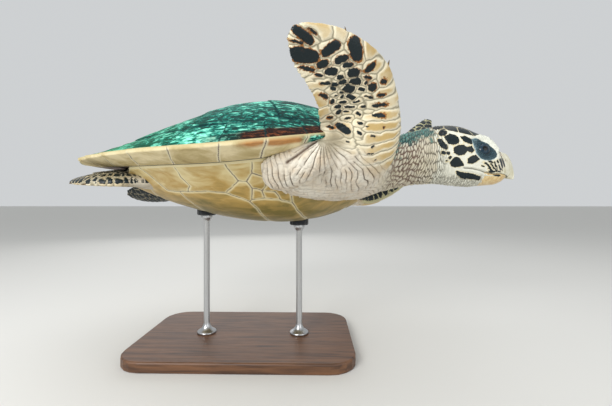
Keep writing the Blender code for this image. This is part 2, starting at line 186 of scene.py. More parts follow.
def tubeFaces(rows, columns, start=0):
    # quads round a tube of rings, and a face over each end
    i, j = np.meshgrid(np.arange(rows - 1), np.arange(columns), indexing="ij")
    after = (j + 1) % columns
    quads = np.stack([i * columns + j, i * columns + after, (i + 1) * columns + after,
                      (i + 1) * columns + j], axis=-1)
    first = list(range(start, start + columns))
    last = [i + (rows - 1) * columns for i in first]
    return (quads.reshape(-1, 4) + start).tolist() + [first[::-1], last]


def makeMesh(name, points, faces):
    mesh = bpy.data.meshes.new(name)
    mesh.from_pydata((np.asarray(points) + home).tolist(), [], faces)
    body = bmesh.new()
    body.from_mesh(mesh)
    bmesh.ops.recalc_face_normals(body, faces=body.faces)
    body.to_mesh(mesh)
    body.free()
    mesh.shade_smooth()
    return mesh


def readPoints(mesh):
    flat = np.empty(len(mesh.vertices) * 3, np.float32)
    mesh.vertices.foreach_get("co", flat)
    return flat.reshape(-1, 3).astype(float) - home


def writePoints(mesh, points):
    mesh.vertices.foreach_set("co", (points + home).astype(np.float32).ravel())
    mesh.update()


def readNormals(mesh):
    flat = np.empty(len(mesh.vertices) * 3, np.float32)
    mesh.vertex_normals.foreach_get("vector", flat)
    return flat.reshape(-1, 3).astype(float)


def storeField(mesh, name, values):
    field = mesh.attributes.new(name, "FLOAT", "POINT")
    field.data.foreach_set("value", np.asarray(values).astype(np.float32))


def smoothed(points, edges, rounds, weight):
    # each point moves towards the middle of its neighbours
    a, b = edges[:, 0], edges[:, 1]
    total = len(points)
    count = np.maximum(np.bincount(np.r_[a, b], minlength=total), 1)
    for _ in range(rounds):
        middle = np.stack([(np.bincount(a, points[b, k], total) + np.bincount(b, points[a, k], total)) / count
                           for k in range(3)], axis=1)
        points = points + (middle - points) * weight[:, None]
    return points


def addPiece(name, mesh, look, nodes):
    # a finished piece: its material, the body it rides on, the nodes it stands for
    piece = bpy.data.objects.new(name, mesh)
    scene.collection.objects.link(piece)
    mesh.materials.clear()
    mesh.materials.append(look)
    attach(piece, "root")
    if nodes:
        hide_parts(*nodes)
    return piece


def curveThrough(rows, steps):
    # rows of numbers read as one smooth curve, with this many steps between each two
    flat = np.array([[*row[0], *row[1:]] if isinstance(row[0], tuple) else row for row in rows], float)
    padded = np.vstack([flat[:1], flat, flat[-1:]])
    found = []
    for i in range(len(flat) - 1):
        p0, p1, p2, p3 = padded[i:i + 4]
        for step in range(steps):
            u = step / steps
            found.append(0.5 * (2 * p1 + (p2 - p0) * u + (2 * p0 - 5 * p1 + 4 * p2 - p3) * u * u
                                + (3 * p1 - p0 - 3 * p2 + p3) * u ** 3))
    return np.vstack([found, flat[-1:]])


def unit(vectors):
    return vectors / np.maximum(np.linalg.norm(vectors, axis=-1, keepdims=True), 1e-9)


# camera, floor and light
studio = {
    "eye": (0.14, -0.723, 0.30),      # level with the middle of the turtle, close on its right side
    "turn": -1.2,                     # degrees to the left
    "lens": 19.76,
    "paper": "#d2d1cd",
    "room": "#eef1f3",
    "roomStrength": 0.72,
}


def buildStudio():
    camera = bpy.data.objects.new("camera", bpy.data.cameras.new("camera"))
    scene.collection.objects.link(camera)
    camera.location = studio["eye"]
    camera.rotation_euler = (radians(90), 0, radians(-studio["turn"]))
    camera.data.lens = studio["lens"]
    camera.data.sensor_width = 36
    camera.data.clip_start = 0.02
    scene.camera = camera
    scene.view_settings.view_transform = "Standard"

    floorMesh = bpy.data.meshes.new("floor")
    floorMesh.from_pydata([(-30, -30, 0), (30, -30, 0), (30, 30, 0), (-30, 30, 0)], [], [(0, 1, 2, 3)])
    floor = bpy.data.objects.new("floor", floorMesh)
    scene.collection.objects.link(floor)
    # studio paper: rolled and uncoated, dead matt
    paper, _, shader = newMaterial("studioPaper")
    feed(shader, {"Base Color": studio["paper"], "Roughness": 0.9, "Specular IOR Level": 0.2})
    floorMesh.materials.append(paper)

    world = bpy.data.worlds.new("studio")
    scene.world = world
    world.use_nodes = True
    feed(world.node_tree.nodes["Background"], {"Color": studio["room"], "Strength": studio["roomStrength"]})

    # soft boxes: place, what it faces, size, power
    boxes = {
        "key": ((-0.75, -1.55, 1.05), (0.08, 0, 0.38), 0.8, 30),
        "fill": ((1.30, -1.30, 0.55), (0.2, 0, 0.36), 1.2, 6),
        "top": ((0.1, 0.30, 2.3), (0, 0, 0.4), 2.2, 17),
        "back": ((-0.6, 1.9, 1.3), (0, 0, 0.4), 1.8, 9),
    }
    for name, (place, target, size, power) in boxes.items():
        lamp = bpy.data.lights.new(name, "AREA")
        lamp.shape = "SQUARE"
        lamp.size = size
        lamp.energy = power
        lit = bpy.data.objects.new(name, lamp)
        scene.collection.objects.link(lit)
        lit.location = place
        lit.rotation_euler = (Vector(target) - Vector(place)).to_track_quat("-Z", "Y").to_euler()


buildStudio()
print("studio ready")


# shell outlines, as the frame has them
shell = {
    "length": 0.66, "halfWidth": 0.257, "riseRear": 0.008, "riseFront": 0.065, "lowAt": 0.45,
    "crownArch": 0.077, "rimThickness": 0.005, "inset": 0.057, "drop": 0.018,
    # where each plate of the rim starts, in twelfths of the way from tail to neck
    "marginals": (0, 1, 1.95, 2.92, 4.04, 5.20, 6.30, 7.20, 8.05, 9.0, 10.0, 11.0, 12.0),
    "serration": 0.005, "bellyDepth": 0.115, "plateThickness": 0.012, "plateEdge": 0.003,
}


def outline(t):
    fall = np.where(t < 0.58, 0.55, 0.62)
    return shell["halfWidth"] * np.maximum(np.sin(pi * t ** 1.27), 0.0) ** fall


def rimHeight(t):
    low = shell["lowAt"]
    rear = shell["riseRear"] * (np.maximum(low - t, 0) / low) ** 2
    return rear + shell["riseFront"] * (np.maximum(t - low, 0) / (1 - low)) ** 2


def crownHeight(t):
    line = shell["riseRear"] + (shell["riseFront"] + 0.003 - shell["riseRear"]) * t
    return line + shell["crownArch"] * np.maximum(np.sin(pi * t ** 1.36), 0.0) ** 1.65


def seamHalfWidth(t):
    return outline(t) - np.minimum(shell["inset"], 0.55 * outline(t))


def seamHeight(t):
    return rimHeight(t) - 0.004 - (shell["drop"] - 0.004) * np.sin(pi * t) ** 0.5


def bellyHeight(t, y):
    share = np.clip((t - 0.10) / 0.87, 0.0, 1.0)
    depth = shell["bellyDepth"] * np.maximum(np.sin(pi * share ** 1.51), 0.0) ** 0.45
    side = seamHeight(t)
    across = np.minimum(np.abs(y) / seamHalfWidth(t), 1.0)
    return side - np.maximum(depth + side, 0.0) * (1 - across ** 3) ** 1.4


def plateOf(twelfths):
    # which rim plate, the share of the way along it, and how far its nearer end is
    ends = np.array(shell["marginals"])
    number = np.clip(np.searchsorted(ends, twelfths, side="right") - 1, 0, 11)
    share = (twelfths - ends[number]) / (ends[number + 1] - ends[number])
    return number, share, np.minimum(twelfths - ends[number], ends[number + 1] - twelfths)


def rimRun(steps):
    # stations evenly spaced round the rim from tail to neck: share of length, plate number, share of plate
    walk = np.linspace(0, 1, 4001)
    run = np.r_[0, np.cumsum(np.hypot(np.diff(walk) * shell["length"], np.diff(outline(walk))))]
    twelfths = (np.arange(steps) + 0.5) / steps * 12
    t = np.interp(twelfths / 12 * run[-1], run, walk)
    number, share, toEnd = plateOf(twelfths)
    return np.clip(t, 0.006, 0.996), number, share, toEnd * run[-1] / 12, twelfths, run[-1] / 12


# carapace
carapaceLook = {
    "aroundRim": 456, "across": 250, "under": 30,
    "rimBand": 0.043,              # marginal plates seen from above, metres from the edge
    "overlap": 0.0030,             # how far each plate stands over the one behind it
    "vertebrals": (0.115, 0.285, 0.465, 0.645, 0.815),
    "costals": (0.20, 0.375, 0.555, 0.735),
    "costalOut": 0.150,
    # teal, pale and green colour the top: the horn's streaks, partly algae and partly painted blue-green water
    # light from above
    "deep": "#032a2c", "teal": "#0a7569", "pale": "#8be6cb", "green": "#1d7f3c",
    "ember": "#1c0f0c", "amber": "#7d4425", "rimGold": "#b7ab82",
    "cream": "#e3d5ae", "olive": "#bfae80", "stain": "#8c784a", "seamDark": "#5a4a56", "seamPale": "#e4dcbc",
    "rustDeep": "#8a4a22", "rustPale": "#d29a58",
}


def carapaceMaterial():
    # horn: plates grown layer on layer and worn by water, so streaks show through a satin, waxy top
    look = carapaceLook
    made, tree, shader = newMaterial("carapaceHorn")
    place = addNode(tree, "TexCoord")
    under, seam, edge, length, plate = [addNode(tree, "Attribute", attribute_name=name)
                                        for name in ("under", "seam", "edge", "lengthShare", "plate")]
    # flecks run lengthwise, about 12 mm long and 5 mm wide, over 40 mm clouds
    fleckPlace = addNode(tree, "VectorMath", {0: place, 1: (82, 180, 180)}, operation="MULTIPLY")
    streak = addNode(tree, "TexNoise", {"Vector": fleckPlace, "Scale": 1.0, "Detail": 5.0,
                                        "Roughness": 0.66, "Distortion": 0.6})
    blotch = addNode(tree, "TexNoise", {"Vector": place, "Scale": 24.0, "Detail": 3.0})
    fine = addNode(tree, "TexNoise", {"Vector": place, "Scale": 260.0, "Detail": 2.0})
    stain = addNode(tree, "TexNoise", {"Vector": place, "Scale": 17.0, "Detail": 6.0,
                                       "Roughness": 0.62, "Distortion": 0.5})
    # source, its range, and the share given over that range
    share = {name: addNode(tree, "MapRange", dict(enumerate(row))) for name, row in {
        "green": (length, 0.52, 0.12, 0.10, 1.15), "front": (length, 0.42, 0.66), "low": (edge, 0.030, 0.012),
        "tone": (plate, 0.0, 1.0, 0.72, 1.16), "gap": (seam, 0.0024, 0.0008, 0.0, 0.85),
        "rim": (edge, 0.0016, 0.0006), "stain": (edge, 0.010, 0.055, -0.04, 0.10),
        "rustFront": (length, 0.52, 0.66), "rustEdge": (edge, 0.022, 0.004),
        "greenFront": (length, 0.725, 0.755), "greenRear": (length, 0.05, 0.01, 0.0, 0.7),
        "halo": (seam, 0.0046, 0.0018, 0.0, 0.85), "line": (seam, 0.0014, 0.0006, 0.0, 0.85),
        "rough": (streak, 0.0, 1.0, 0.50, 0.70)}.items()}
    # the teal flecks and the green towards the tail are partly algae and partly painted blue-green water light
    cloudy = addNode(tree, "Math", {0: blotch, 1: 0.45, 2: streak}, operation="MULTIPLY_ADD")
    flecked = addNode(tree, "ValToRGB", {0: cloudy},
                      stops=[(0.68, look["deep"]), (0.76, look["teal"]), (0.88, look["pale"])])
    green = addNode(tree, "Math", {0: share["green"], 1: blotch}, operation="MULTIPLY")
    # warm tortoiseshell shows low on the sides towards the front
    warm = addNode(tree, "Math", {0: share["front"], 1: share["low"], 2: blotch}, operation="MULTIPLY_ADD")
    warm = addNode(tree, "MapRange", {0: warm, 1: 1.00, 2: 1.32})
    tortoise = addNode(tree, "ValToRGB", {0: streak}, stops=[(0.50, look["ember"]), (0.70, look["amber"])])
    top = flecked
    for mask, colour, blend in ((green, look["green"], "MIX"), (warm, tortoise, "MIX"),
                                (1.0, share["tone"], "MULTIPLY"), (share["gap"], look["deep"], "MIX"),
                                (share["rim"], look["rimGold"], "MIX")):
        top = addNode(tree, "Mix", {0: mask, 6: top, 7: colour}, data_type="RGBA", blend_type=blend)

    # underneath the horn is thin and pale, stained olive away from the edge
    stained = addNode(tree, "Math", {0: stain, 1: share["stain"]})
    lower = addNode(tree, "ValToRGB", {0: stained},
                    stops=[(0.40, look["cream"]), (0.60, look["olive"]), (0.80, look["stain"])])
    # orange along the front edge, green where the rim meets the flipper and at the tail
    rust = addNode(tree, "Math", {0: share["rustFront"], 1: share["rustEdge"]}, operation="MULTIPLY")
    rust = addNode(tree, "Math", {0: rust, 1: blotch}, operation="MULTIPLY")
    rust = addNode(tree, "MapRange", {0: rust, 1: 0.16, 2: 0.42, 4: 0.9})
    rusty = addNode(tree, "Mix", {0: streak, 6: look["rustDeep"], 7: look["rustPale"]}, data_type="RGBA")
    greenEnds = addNode(tree, "Math", {0: share["greenFront"], 1: share["greenRear"]})
    for mask, colour in ((rust, rusty), (greenEnds, flecked), (share["halo"], look["seamPale"]),
                         (share["line"], look["seamDark"])):
        lower = addNode(tree, "Mix", {0: mask, 6: lower, 7: colour}, data_type="RGBA")
    colour = addNode(tree, "Mix", {0: under, 6: top, 7: lower}, data_type="RGBA")
    # growth lines, 1 to 2 mm apart, and fine scratches
    lift = addNode(tree, "Math", {0: streak, 1: 0.6}, operation="MULTIPLY")
    lift = addNode(tree, "Math", {0: fine, 1: 0.25, 2: lift}, operation="MULTIPLY_ADD")
    bump = addNode(tree, "Bump", {"Height": lift, "Distance": 0.0012, "Strength": 0.55})
    feed(shader, {"Base Color": colour, "Roughness": share["rough"], "Specular IOR Level": 0.06,
                  "Normal": bump})
    return made


def buildCarapace():
    look = carapaceLook
    t, number, share, endGap, twelfths, twelfth = rimRun(look["aroundRim"])
    half = outline(t)
    slope = (outline(np.minimum(t + 0.01, 1)) - outline(np.maximum(t - 0.01, 0))) / (0.02 * shell["length"])
    outward = unit(np.stack([-slope, np.ones_like(slope)], axis=1))
    fade = np.maximum(0.0, 1 - number / 7) * np.where(number == 0, 0.4, 1.0)
    tooth = shell["serration"] * (1 - share) * fade
    # each rim plate is a little convex between its corners, all round
    tooth = tooth - 0.0012 * (2 * share - 1) ** 4 * smoothStep(3.0, 6.0, number)

    lin = np.linspace(-1, 1, look["across"])
    across = 0.45 * lin + 0.55 * np.sin(pi / 2 * lin)
    tGrid, aGrid = np.meshgrid(t, across, indexing="ij")
    side = np.sign(aGrid)
    push = tooth[:, None] * np.abs(aGrid) ** 8
    height = rimHeight(t)[:, None] + (crownHeight(t) - rimHeight(t))[:, None] * (1 - np.abs(aGrid) ** 2.2)
    height = height + shell["rimThickness"] / 2 * np.abs(aGrid) ** 8
    flatX, flatY = tGrid * shell["length"], aGrid * half[:, None]
    top = np.stack([flatX + outward[:, :1] * push, flatY + side * outward[:, 1:] * push, height], axis=-1)

    # where each point lies: distance in from the rim, and how far round the rim
    rimPoints = np.stack([t * shell["length"], half, 0 * t], axis=1)
    flat = np.stack([flatX.ravel(), np.abs(flatY).ravel(), 0 * flatX.ravel()], axis=1)
    at, fromEdge = nearestOf(flat, rimPoints)
    fromEdge = fromEdge.reshape(tGrid.shape)
    plateShare = share[at].reshape(tGrid.shape)
    plateNumber = number[at].reshape(tGrid.shape)

    band = look["rimBand"] * (1 - 0.25 * smoothStep(0.55, 0.95, tGrid))
    seeds = [(v * shell["length"], 0.0) for v in look["vertebrals"]]
    seeds += [(c * shell["length"], look["costalOut"] - 0.05 * max(0, c - 0.6) / 0.14)
              for c in look["costals"]]
    seeds.append((0.955 * shell["length"], 0.0))
    ahead, out = flatX.ravel(), np.abs(flatY).ravel()
    squared = np.stack([(ahead - sx) ** 2 + ((out - sy) * 0.86) ** 2 for sx, sy in seeds], axis=1)
    order = np.argsort(squared, axis=1)[:, :2]
    rows = np.arange(len(ahead))
    firstD, secondD = squared[rows, order[:, 0]], squared[rows, order[:, 1]]
    seedArray = np.array(seeds)
    apart = np.linalg.norm(seedArray[order[:, 0]] - seedArray[order[:, 1]], axis=1)
    inner = ((secondD - firstD) / (2 * apart)).reshape(tGrid.shape)
    cellX = seedArray[order[:, 0], 0].reshape(tGrid.shape)
    cellId = order[:, 0].reshape(tGrid.shape)

    marginal = fromEdge < band
    toPlateEnd = endGap[at].reshape(tGrid.shape)
    seam = np.where(marginal, np.minimum(toPlateEnd, np.abs(band - fromEdge)),
                    np.minimum(inner, np.abs(fromEdge - band)))
    # every plate rises towards the tail and drops off its rear edge
    lift = np.where(marginal, 0.5 * look["overlap"] * (1 - plateShare) * smoothStep(0.0, 0.012, fromEdge),
                    look["overlap"] * np.clip(0.55 + (cellX - flatX) / 0.14, 0, 1)
                    + 0.0010 * smoothStep(0, 0.02, fromEdge - band))
    lift = lift - 0.0007 * np.exp(-(seam / 0.0016) ** 2) * (fromEdge > 0.006)
    flatPoints = top.reshape(-1, 3)
    lift = lift + (0.0006 * softNoise(flatPoints * np.array([0.5, 2.0, 2.0]), 0.012, 5)).reshape(tGrid.shape) \
        * smoothStep(0.004, 0.02, fromEdge)
    lift = lift * smoothStep(0.0, 0.004, fromEdge)
    top[..., 2] += lift

    # underside of the rim, from the edge in to the bridge, each plate swelling slightly
    steps = look["under"]
    u = np.linspace(0, 1, steps)
    sides = []
    fieldsUnder = []
    for sign in (1, -1):
        edge = np.stack([t * shell["length"] + outward[:, 0] * tooth * 0.9,
                         sign * (half - 0.001 + outward[:, 1] * tooth * 0.9),
                         rimHeight(t) - shell["rimThickness"] / 2], axis=1)
        inset = np.minimum(shell["inset"], 0.55 * half)
        seamLine = np.stack([t * shell["length"], sign * (half - inset), seamHeight(t)], axis=1)
        strip = edge[:, None] + (seamLine - edge)[:, None] * u[None, :, None]
        width = np.linalg.norm(seamLine - edge, axis=1)
        inward = width[:, None] * u[None, :]
        wander = wobble(strip.reshape(-1, 3), (0.035, 0.022, 14), (0.010, 0.007, 15))
        slanted = twelfths[:, None] + 0.22 * u[None, :] + wander.reshape(inward.shape)
        toSeam = np.minimum(plateOf(slanted)[2] * twelfth, width[:, None] - inward)
        swell = 0.0016 * smoothStep(0, 0.012, toSeam) * np.sin(pi * np.clip(u, 0, 1)) ** 0.5
        groove = 0.0009 * np.exp(-(toSeam / 0.0013) ** 2) * smoothStep(0.0, 0.004, inward)
        strip[..., 2] -= swell - groove
        sides.append(strip)
        fieldsUnder.append((toSeam, inward))
    right, left = sides[1][:, ::-1], sides[0]
    ring = np.concatenate([top, left, right], axis=1)
    fields = {
        "seam": np.concatenate([seam, fieldsUnder[0][0], fieldsUnder[1][0][:, ::-1]], axis=1),
        "edge": np.concatenate([fromEdge, fieldsUnder[0][1], fieldsUnder[1][1][:, ::-1]], axis=1),
        "under": np.concatenate([0 * seam, 1 + 0 * fieldsUnder[0][0], 1 + 0 * fieldsUnder[0][0]], axis=1),
        "lengthShare": np.repeat(t[:, None], ring.shape[1], axis=1),
    }
    plate = np.where(marginal, roll(plateNumber, plateNumber, plateNumber + 3, 1),
                     roll(cellId, cellId, cellId + 11, 2))
    fields["plate"] = np.concatenate([plate, 0 * fieldsUnder[0][0], 0 * fieldsUnder[0][0]], axis=1)
    mesh = makeMesh("carapaceShell", ring.reshape(-1, 3), tubeFaces(*ring.shape[:2]))
    for name, values in fields.items():
        storeField(mesh, name, values.ravel())
    return addPiece("carapaceShell", mesh, carapaceMaterial(), ["carapace"])


buildCarapace()
print("carapace ready")


# plastron
plastronLook = {
    "along": 360, "across": 220,
    "grooveDepth": 0.0010, "grooveWidth": 0.0012, "swell": 0.0010,
    "cream": "#cdbd8c", "ochre": "#ae9050", "olive": "#776a36", "seamDark": "#4e4149", "seamPale": "#d8cfa8",
}
# seams between belly plates, half of them: share of length and share of the width to the bridge
plateSeams = [
    [(0.155, 0.0), (0.30, 0.0), (0.50, 0.0), (0.70, 0.0), (0.895, 0.0)],
    [(0.275, 0.0), (0.282, 0.30), (0.290, 0.70)],
    [(0.292, 1.0), (0.320, 0.86), (0.351, 0.694)],
    [(0.351, 0.694), (0.394, 0.702), (0.420, 0.722), (0.479, 0.754), (0.531, 0.748)],
    [(0.409, 1.0), (0.418, 0.88), (0.435, 0.794), (0.420, 0.722)],
    [(0.394, 0.702), (0.424, 0.466), (0.432, 0.20), (0.432, 0.0)],
    [(0.543, 1.0), (0.556, 0.92), (0.570, 0.848), (0.531, 0.748)],
    [(0.570, 0.848), (0.590, 0.845), (0.607, 0.897), (0.613, 1.0)],
    [(0.590, 0.845), (0.602, 0.790), (0.596, 0.689), (0.589, 0.669)],
    [(0.531, 0.748), (0.560, 0.715), (0.589, 0.669), (0.605, 0.581), (0.622, 0.35), (0.626, 0.0)],
    [(0.607, 0.897), (0.639, 0.862), (0.638, 0.800), (0.626, 0.769)],
    [(0.602, 0.790), (0.626, 0.769), (0.659, 0.749), (0.667, 0.71), (0.670, 0.679)],
    [(0.626, 0.769), (0.630, 0.695)],
    [(0.596, 0.689), (0.630, 0.695), (0.670, 0.679), (0.701, 0.634)],
    [(0.699, 0.72), (0.701, 0.634), (0.708, 0.589), (0.734, 0.331), (0.740, 0.0)],
    [(0.852, 0.0), (0.858, 0.25)],
]


def plastronPlan(t):
    lobes = np.array([(0.15, 0.018), (0.158, 0.036), (0.175, 0.056), (0.20, 0.076), (0.225, 0.092)])
    front = np.array([(0.705, 0.140), (0.75, 0.114), (0.82, 0.094), (0.865, 0.072), (0.89, 0.048),
                      (0.90, 0.020)])
    bridgeFrom, bridgeTo = 0.26, 0.66
    full = seamHalfWidth(t)
    rearShare = np.clip((t - lobes[-1, 0]) / (bridgeFrom - lobes[-1, 0]), 0, 1)
    frontShare = np.clip((front[0, 0] - t) / (front[0, 0] - bridgeTo), 0, 1)
    half = np.where(t < bridgeFrom, lobes[-1, 1] + (full - lobes[-1, 1]) * np.sin(rearShare * pi / 2), full)
    half = np.where(t > bridgeTo, front[0, 1] + (full - front[0, 1]) * np.sin(frontShare * pi / 2), half)
    half = np.where(t <= lobes[-1, 0], np.interp(t, lobes[:, 0], lobes[:, 1]), half)
    return np.where(t >= front[0, 0], np.interp(t, front[:, 0], front[:, 1]), half)


def plastronMaterial():
    # belly horn: smooth overlapping plates, cream where new and stained ochre and olive with age, with painted
    # shade turning it olive towards the bottom
    look = plastronLook
    made, tree, shader = newMaterial("plastronHorn")
    place = addNode(tree, "TexCoord")
    seam, low = [addNode(tree, "Attribute", attribute_name=name) for name in ("seam", "low")]
    # stains run back along the belly, about 40 mm long and 18 mm wide
    flow = addNode(tree, "VectorMath", {0: place, 1: (22, 50, 50)}, operation="MULTIPLY")
    stain = addNode(tree, "TexNoise", {"Vector": flow, "Scale": 1.0, "Detail": 5.0, "Roughness": 0.55,
                                       "Distortion": 0.6})
    # the first range is painted shade: the belly turns more olive further down
    bottomShade, seamShare, halo, line, rough = [addNode(tree, "MapRange", dict(enumerate(row))) for row in (
        (low, 0.0, 1.0, -0.09, 0.34), (seam, 0.0, 0.018, -0.07, 0.05), (seam, 0.0046, 0.0018, 0.0, 0.7),
        (seam, 0.0014, 0.0005, 0.0, 0.85), (stain, 0.0, 1.0, 0.38, 0.58))]
    total = addNode(tree, "Math", {0: stain, 1: bottomShade})
    total = addNode(tree, "Math", {0: total, 1: seamShare})
    colour = addNode(tree, "ValToRGB", {0: total},
                     stops=[(0.30, look["cream"]), (0.60, look["ochre"]), (0.92, look["olive"])])
    for mask, over in ((halo, look["seamPale"]), (line, look["seamDark"])):
        colour = addNode(tree, "Mix", {0: mask, 6: colour, 7: over}, data_type="RGBA")
    # growth lines about 2 mm apart, drawn coarse enough to show
    fine = addNode(tree, "TexNoise", {"Vector": place, "Scale": 180.0, "Detail": 3.0})
    bump = addNode(tree, "Bump", {"Height": fine, "Distance": 0.0006, "Strength": 0.4})
    feed(shader, {"Base Color": colour, "Roughness": rough, "Normal": bump})
    return made


def buildPlastron():
    look = plastronLook
    t = np.linspace(0.15, 0.90, look["along"])
    half = plastronPlan(t)
    lin = np.linspace(-1, 1, look["across"])
    across = 0.4 * lin + 0.6 * np.sin(pi / 2 * lin)
    tGrid, aGrid = np.meshgrid(t, across, indexing="ij")
    yGrid = aGrid * half[:, None]
    # along the bridge the plates come up to meet the underside of the rim
    meets = smoothStep(0.955, 1.0, np.abs(yGrid) / seamHalfWidth(tGrid))
    lower = np.stack([tGrid * shell["length"], yGrid + 0.0006 * np.sign(aGrid) * meets,
                      bellyHeight(tGrid, yGrid) - shell["plateEdge"] * (1 - meets)], axis=-1)
    inner = np.linspace(0.96, -0.96, 24)
    tRoof, aRoof = np.meshgrid(t, inner, indexing="ij")
    yRoof = aRoof * (half[:, None] - 0.003)
    roof = bellyHeight(tRoof, yRoof) + shell["plateThickness"] * (1 - 0.6 * aRoof ** 6)
    upper = np.stack([tRoof * shell["length"], yRoof, np.minimum(roof, seamHeight(tRoof) - 0.0003)], axis=-1)

    spots = []
    for seamRow in plateSeams:
        corners = np.array(seamRow)
        for a, b in zip(corners, corners[1:]):
            for u in np.linspace(0, 1, 90):
                st, sa = a + (b - a) * u
                y = sa * seamHalfWidth(st)
                for sign in (1, -1):
                    spots.append((st * shell["length"], sign * y,
                                  float(bellyHeight(st, y)) - shell["plateEdge"]))
    flat = lower.reshape(-1, 3)
    wander = np.stack([wobble(flat, (1, 0.014, 11 + k), (0.5, 0.005, 16 + k)) for k in range(3)], axis=1)
    seam = nearestOf(flat + 0.0011 * wander, spots)[1].reshape(tGrid.shape)
    rimGap = (half[:, None] - np.abs(yGrid))
    rimGap = np.where(tGrid < 0.24, 9, rimGap)
    groove = look["grooveDepth"] * np.exp(-(seam / look["grooveWidth"]) ** 2)
    swell = look["swell"] * smoothStep(0, 0.014, seam)
    wave = 0.0005 * softNoise(flat, 0.02, 8).reshape(tGrid.shape)
    inset = smoothStep(0.0, 0.006, half[:, None] * (1 - np.abs(aGrid)))
    lower[..., 2] += (groove - swell - wave) * inset
    ring = np.concatenate([lower, upper], axis=1)
    # painted shade: how far down the belly each point lies, which the material turns olive
    low = np.clip((-lower[..., 2] - 0.030) / 0.065, 0, 1)
    mesh = makeMesh("plastronShell", ring.reshape(-1, 3), tubeFaces(*ring.shape[:2]))
    seamAll = np.minimum(seam, np.where(rimGap < 0.004, 0.002, 9))
    storeField(mesh, "seam", np.concatenate([seamAll, 0 * upper[..., 0] + 9], axis=1).ravel())
    storeField(mesh, "low", np.concatenate([low, 0 * upper[..., 0]], axis=1).ravel())
    return addPiece("plastronShell", mesh, plastronMaterial(), ["plastron"])


buildPlastron()
print("plastron ready")

# flesh outlines, as the frame has them
# distance ahead of the tail tip, half width, lowest, highest, squareness, extra width on top
bodyRows = [
    (0.095, 0.032, -0.028, -0.006, 1.00, 0.00), (0.125, 0.066, -0.032, -0.004, 0.95, 0.00),
    (0.180, 0.106, -0.050, -0.002, 0.95, 0.00), (0.250, 0.138, -0.063, 0.000, 0.95, 0.00),
    (0.330, 0.156, -0.074, 0.000, 1.00, 0.00), (0.420, 0.158, -0.084, 0.002, 1.00, 0.00),
    (0.480, 0.156, -0.086, 0.010, 0.95, 0.00), (0.530, 0.146, -0.084, 0.022, 0.92, 0.00),
    (0.575, 0.127, -0.077, 0.036, 0.92, 0.00), (0.610, 0.103, -0.067, 0.047, 0.95, 0.00),
    (0.640, 0.080, -0.056, 0.055, 1.00, 0.00), (0.672, 0.062, -0.047, 0.060, 1.00, 0.00),
    (0.702, 0.056, -0.0415, 0.0680, 1.00, 0.00), (0.735, 0.055, -0.0390, 0.0760, 1.00, 0.00),
    (0.762, 0.0555, -0.0390, 0.0815, 0.96, 0.03), (0.785, 0.0565, -0.0415, 0.0825, 0.92, 0.06),
    (0.809, 0.0550, -0.0440, 0.0780, 0.90, 0.08), (0.834, 0.0505, -0.0450, 0.0680, 0.88, 0.08),
    (0.852, 0.0455, -0.0430, 0.0615, 0.88, 0.06), (0.869, 0.0385, -0.0415, 0.0560, 0.90, 0.00),
    (0.881, 0.0330, -0.0405, 0.0435, 0.92, -0.02), (0.891, 0.0270, -0.0368, 0.0300, 0.94, -0.06),
    (0.900, 0.0212, -0.0322, 0.0265, 0.98, -0.10), (0.909, 0.0150, -0.0276, 0.0230, 1.04, -0.14),
    (0.918, 0.0088, -0.0284, 0.0110, 1.08, -0.12), (0.9230, 0.0050, -0.0292, -0.0060, 1.04, 0.00),
    (0.9262, 0.0018, -0.0296, -0.0225, 1.00, 0.00),
]
# centre line, width across, thickness, from inside the body to the tip; then where the underside faces
limbs = {
    "frontRight": {"palm": (0.28, -0.72, -0.63), "right": True, "rows": [
        ((0.536, -0.072, -0.036), 0.084, 0.050), ((0.550, -0.102, -0.033), 0.106, 0.064),
        ((0.564, -0.132, -0.023), 0.122, 0.067), ((0.575, -0.163, -0.002), 0.131, 0.056),
        ((0.577, -0.186, 0.026), 0.135, 0.043), ((0.571, -0.206, 0.057), 0.128, 0.034),
        ((0.558, -0.236, 0.082), 0.118, 0.027), ((0.540, -0.262, 0.096), 0.101, 0.022),
        ((0.518, -0.284, 0.107), 0.083, 0.017), ((0.498, -0.300, 0.115), 0.065, 0.013),
        ((0.482, -0.314, 0.1215), 0.040, 0.010), ((0.472, -0.321, 0.125), 0.016, 0.007)]},
    "frontLeft": {"palm": (0.20, 0.84, -0.50), "right": False, "rows": [
        ((0.536, 0.072, -0.038), 0.084, 0.050), ((0.560, 0.102, -0.040), 0.102, 0.064),
        ((0.595, 0.134, -0.040), 0.116, 0.060), ((0.645, 0.162, -0.030), 0.121, 0.046),
        ((0.700, 0.187, 0.000), 0.118, 0.035), ((0.746, 0.209, 0.042), 0.107, 0.027),
        ((0.783, 0.232, 0.086), 0.088, 0.020), ((0.813, 0.253, 0.128), 0.060, 0.013),
        ((0.838, 0.270, 0.165), 0.020, 0.007)]},
    "hindRight": {"palm": (0.10, 0.36, -0.93), "right": True, "rows": [
        ((0.200, -0.076, -0.036), 0.050, 0.036), ((0.168, -0.096, -0.035), 0.064, 0.034),
        ((0.134, -0.106, -0.032), 0.082, 0.025), ((0.096, -0.099, -0.030), 0.085, 0.017),
        ((0.060, -0.083, -0.031), 0.062, 0.011), ((0.040, -0.073, -0.034), 0.020, 0.007)]},
    "hindLeft": {"palm": (0.15, -0.50, -0.85), "right": False, "rows": [
        ((0.200, 0.076, -0.038), 0.050, 0.036), ((0.170, 0.098, -0.042), 0.064, 0.034),
        ((0.138, 0.111, -0.049), 0.082, 0.025), ((0.100, 0.108, -0.054), 0.086, 0.017),
        ((0.064, 0.096, -0.055), 0.062, 0.011), ((0.046, 0.088, -0.054), 0.020, 0.007)]},
}
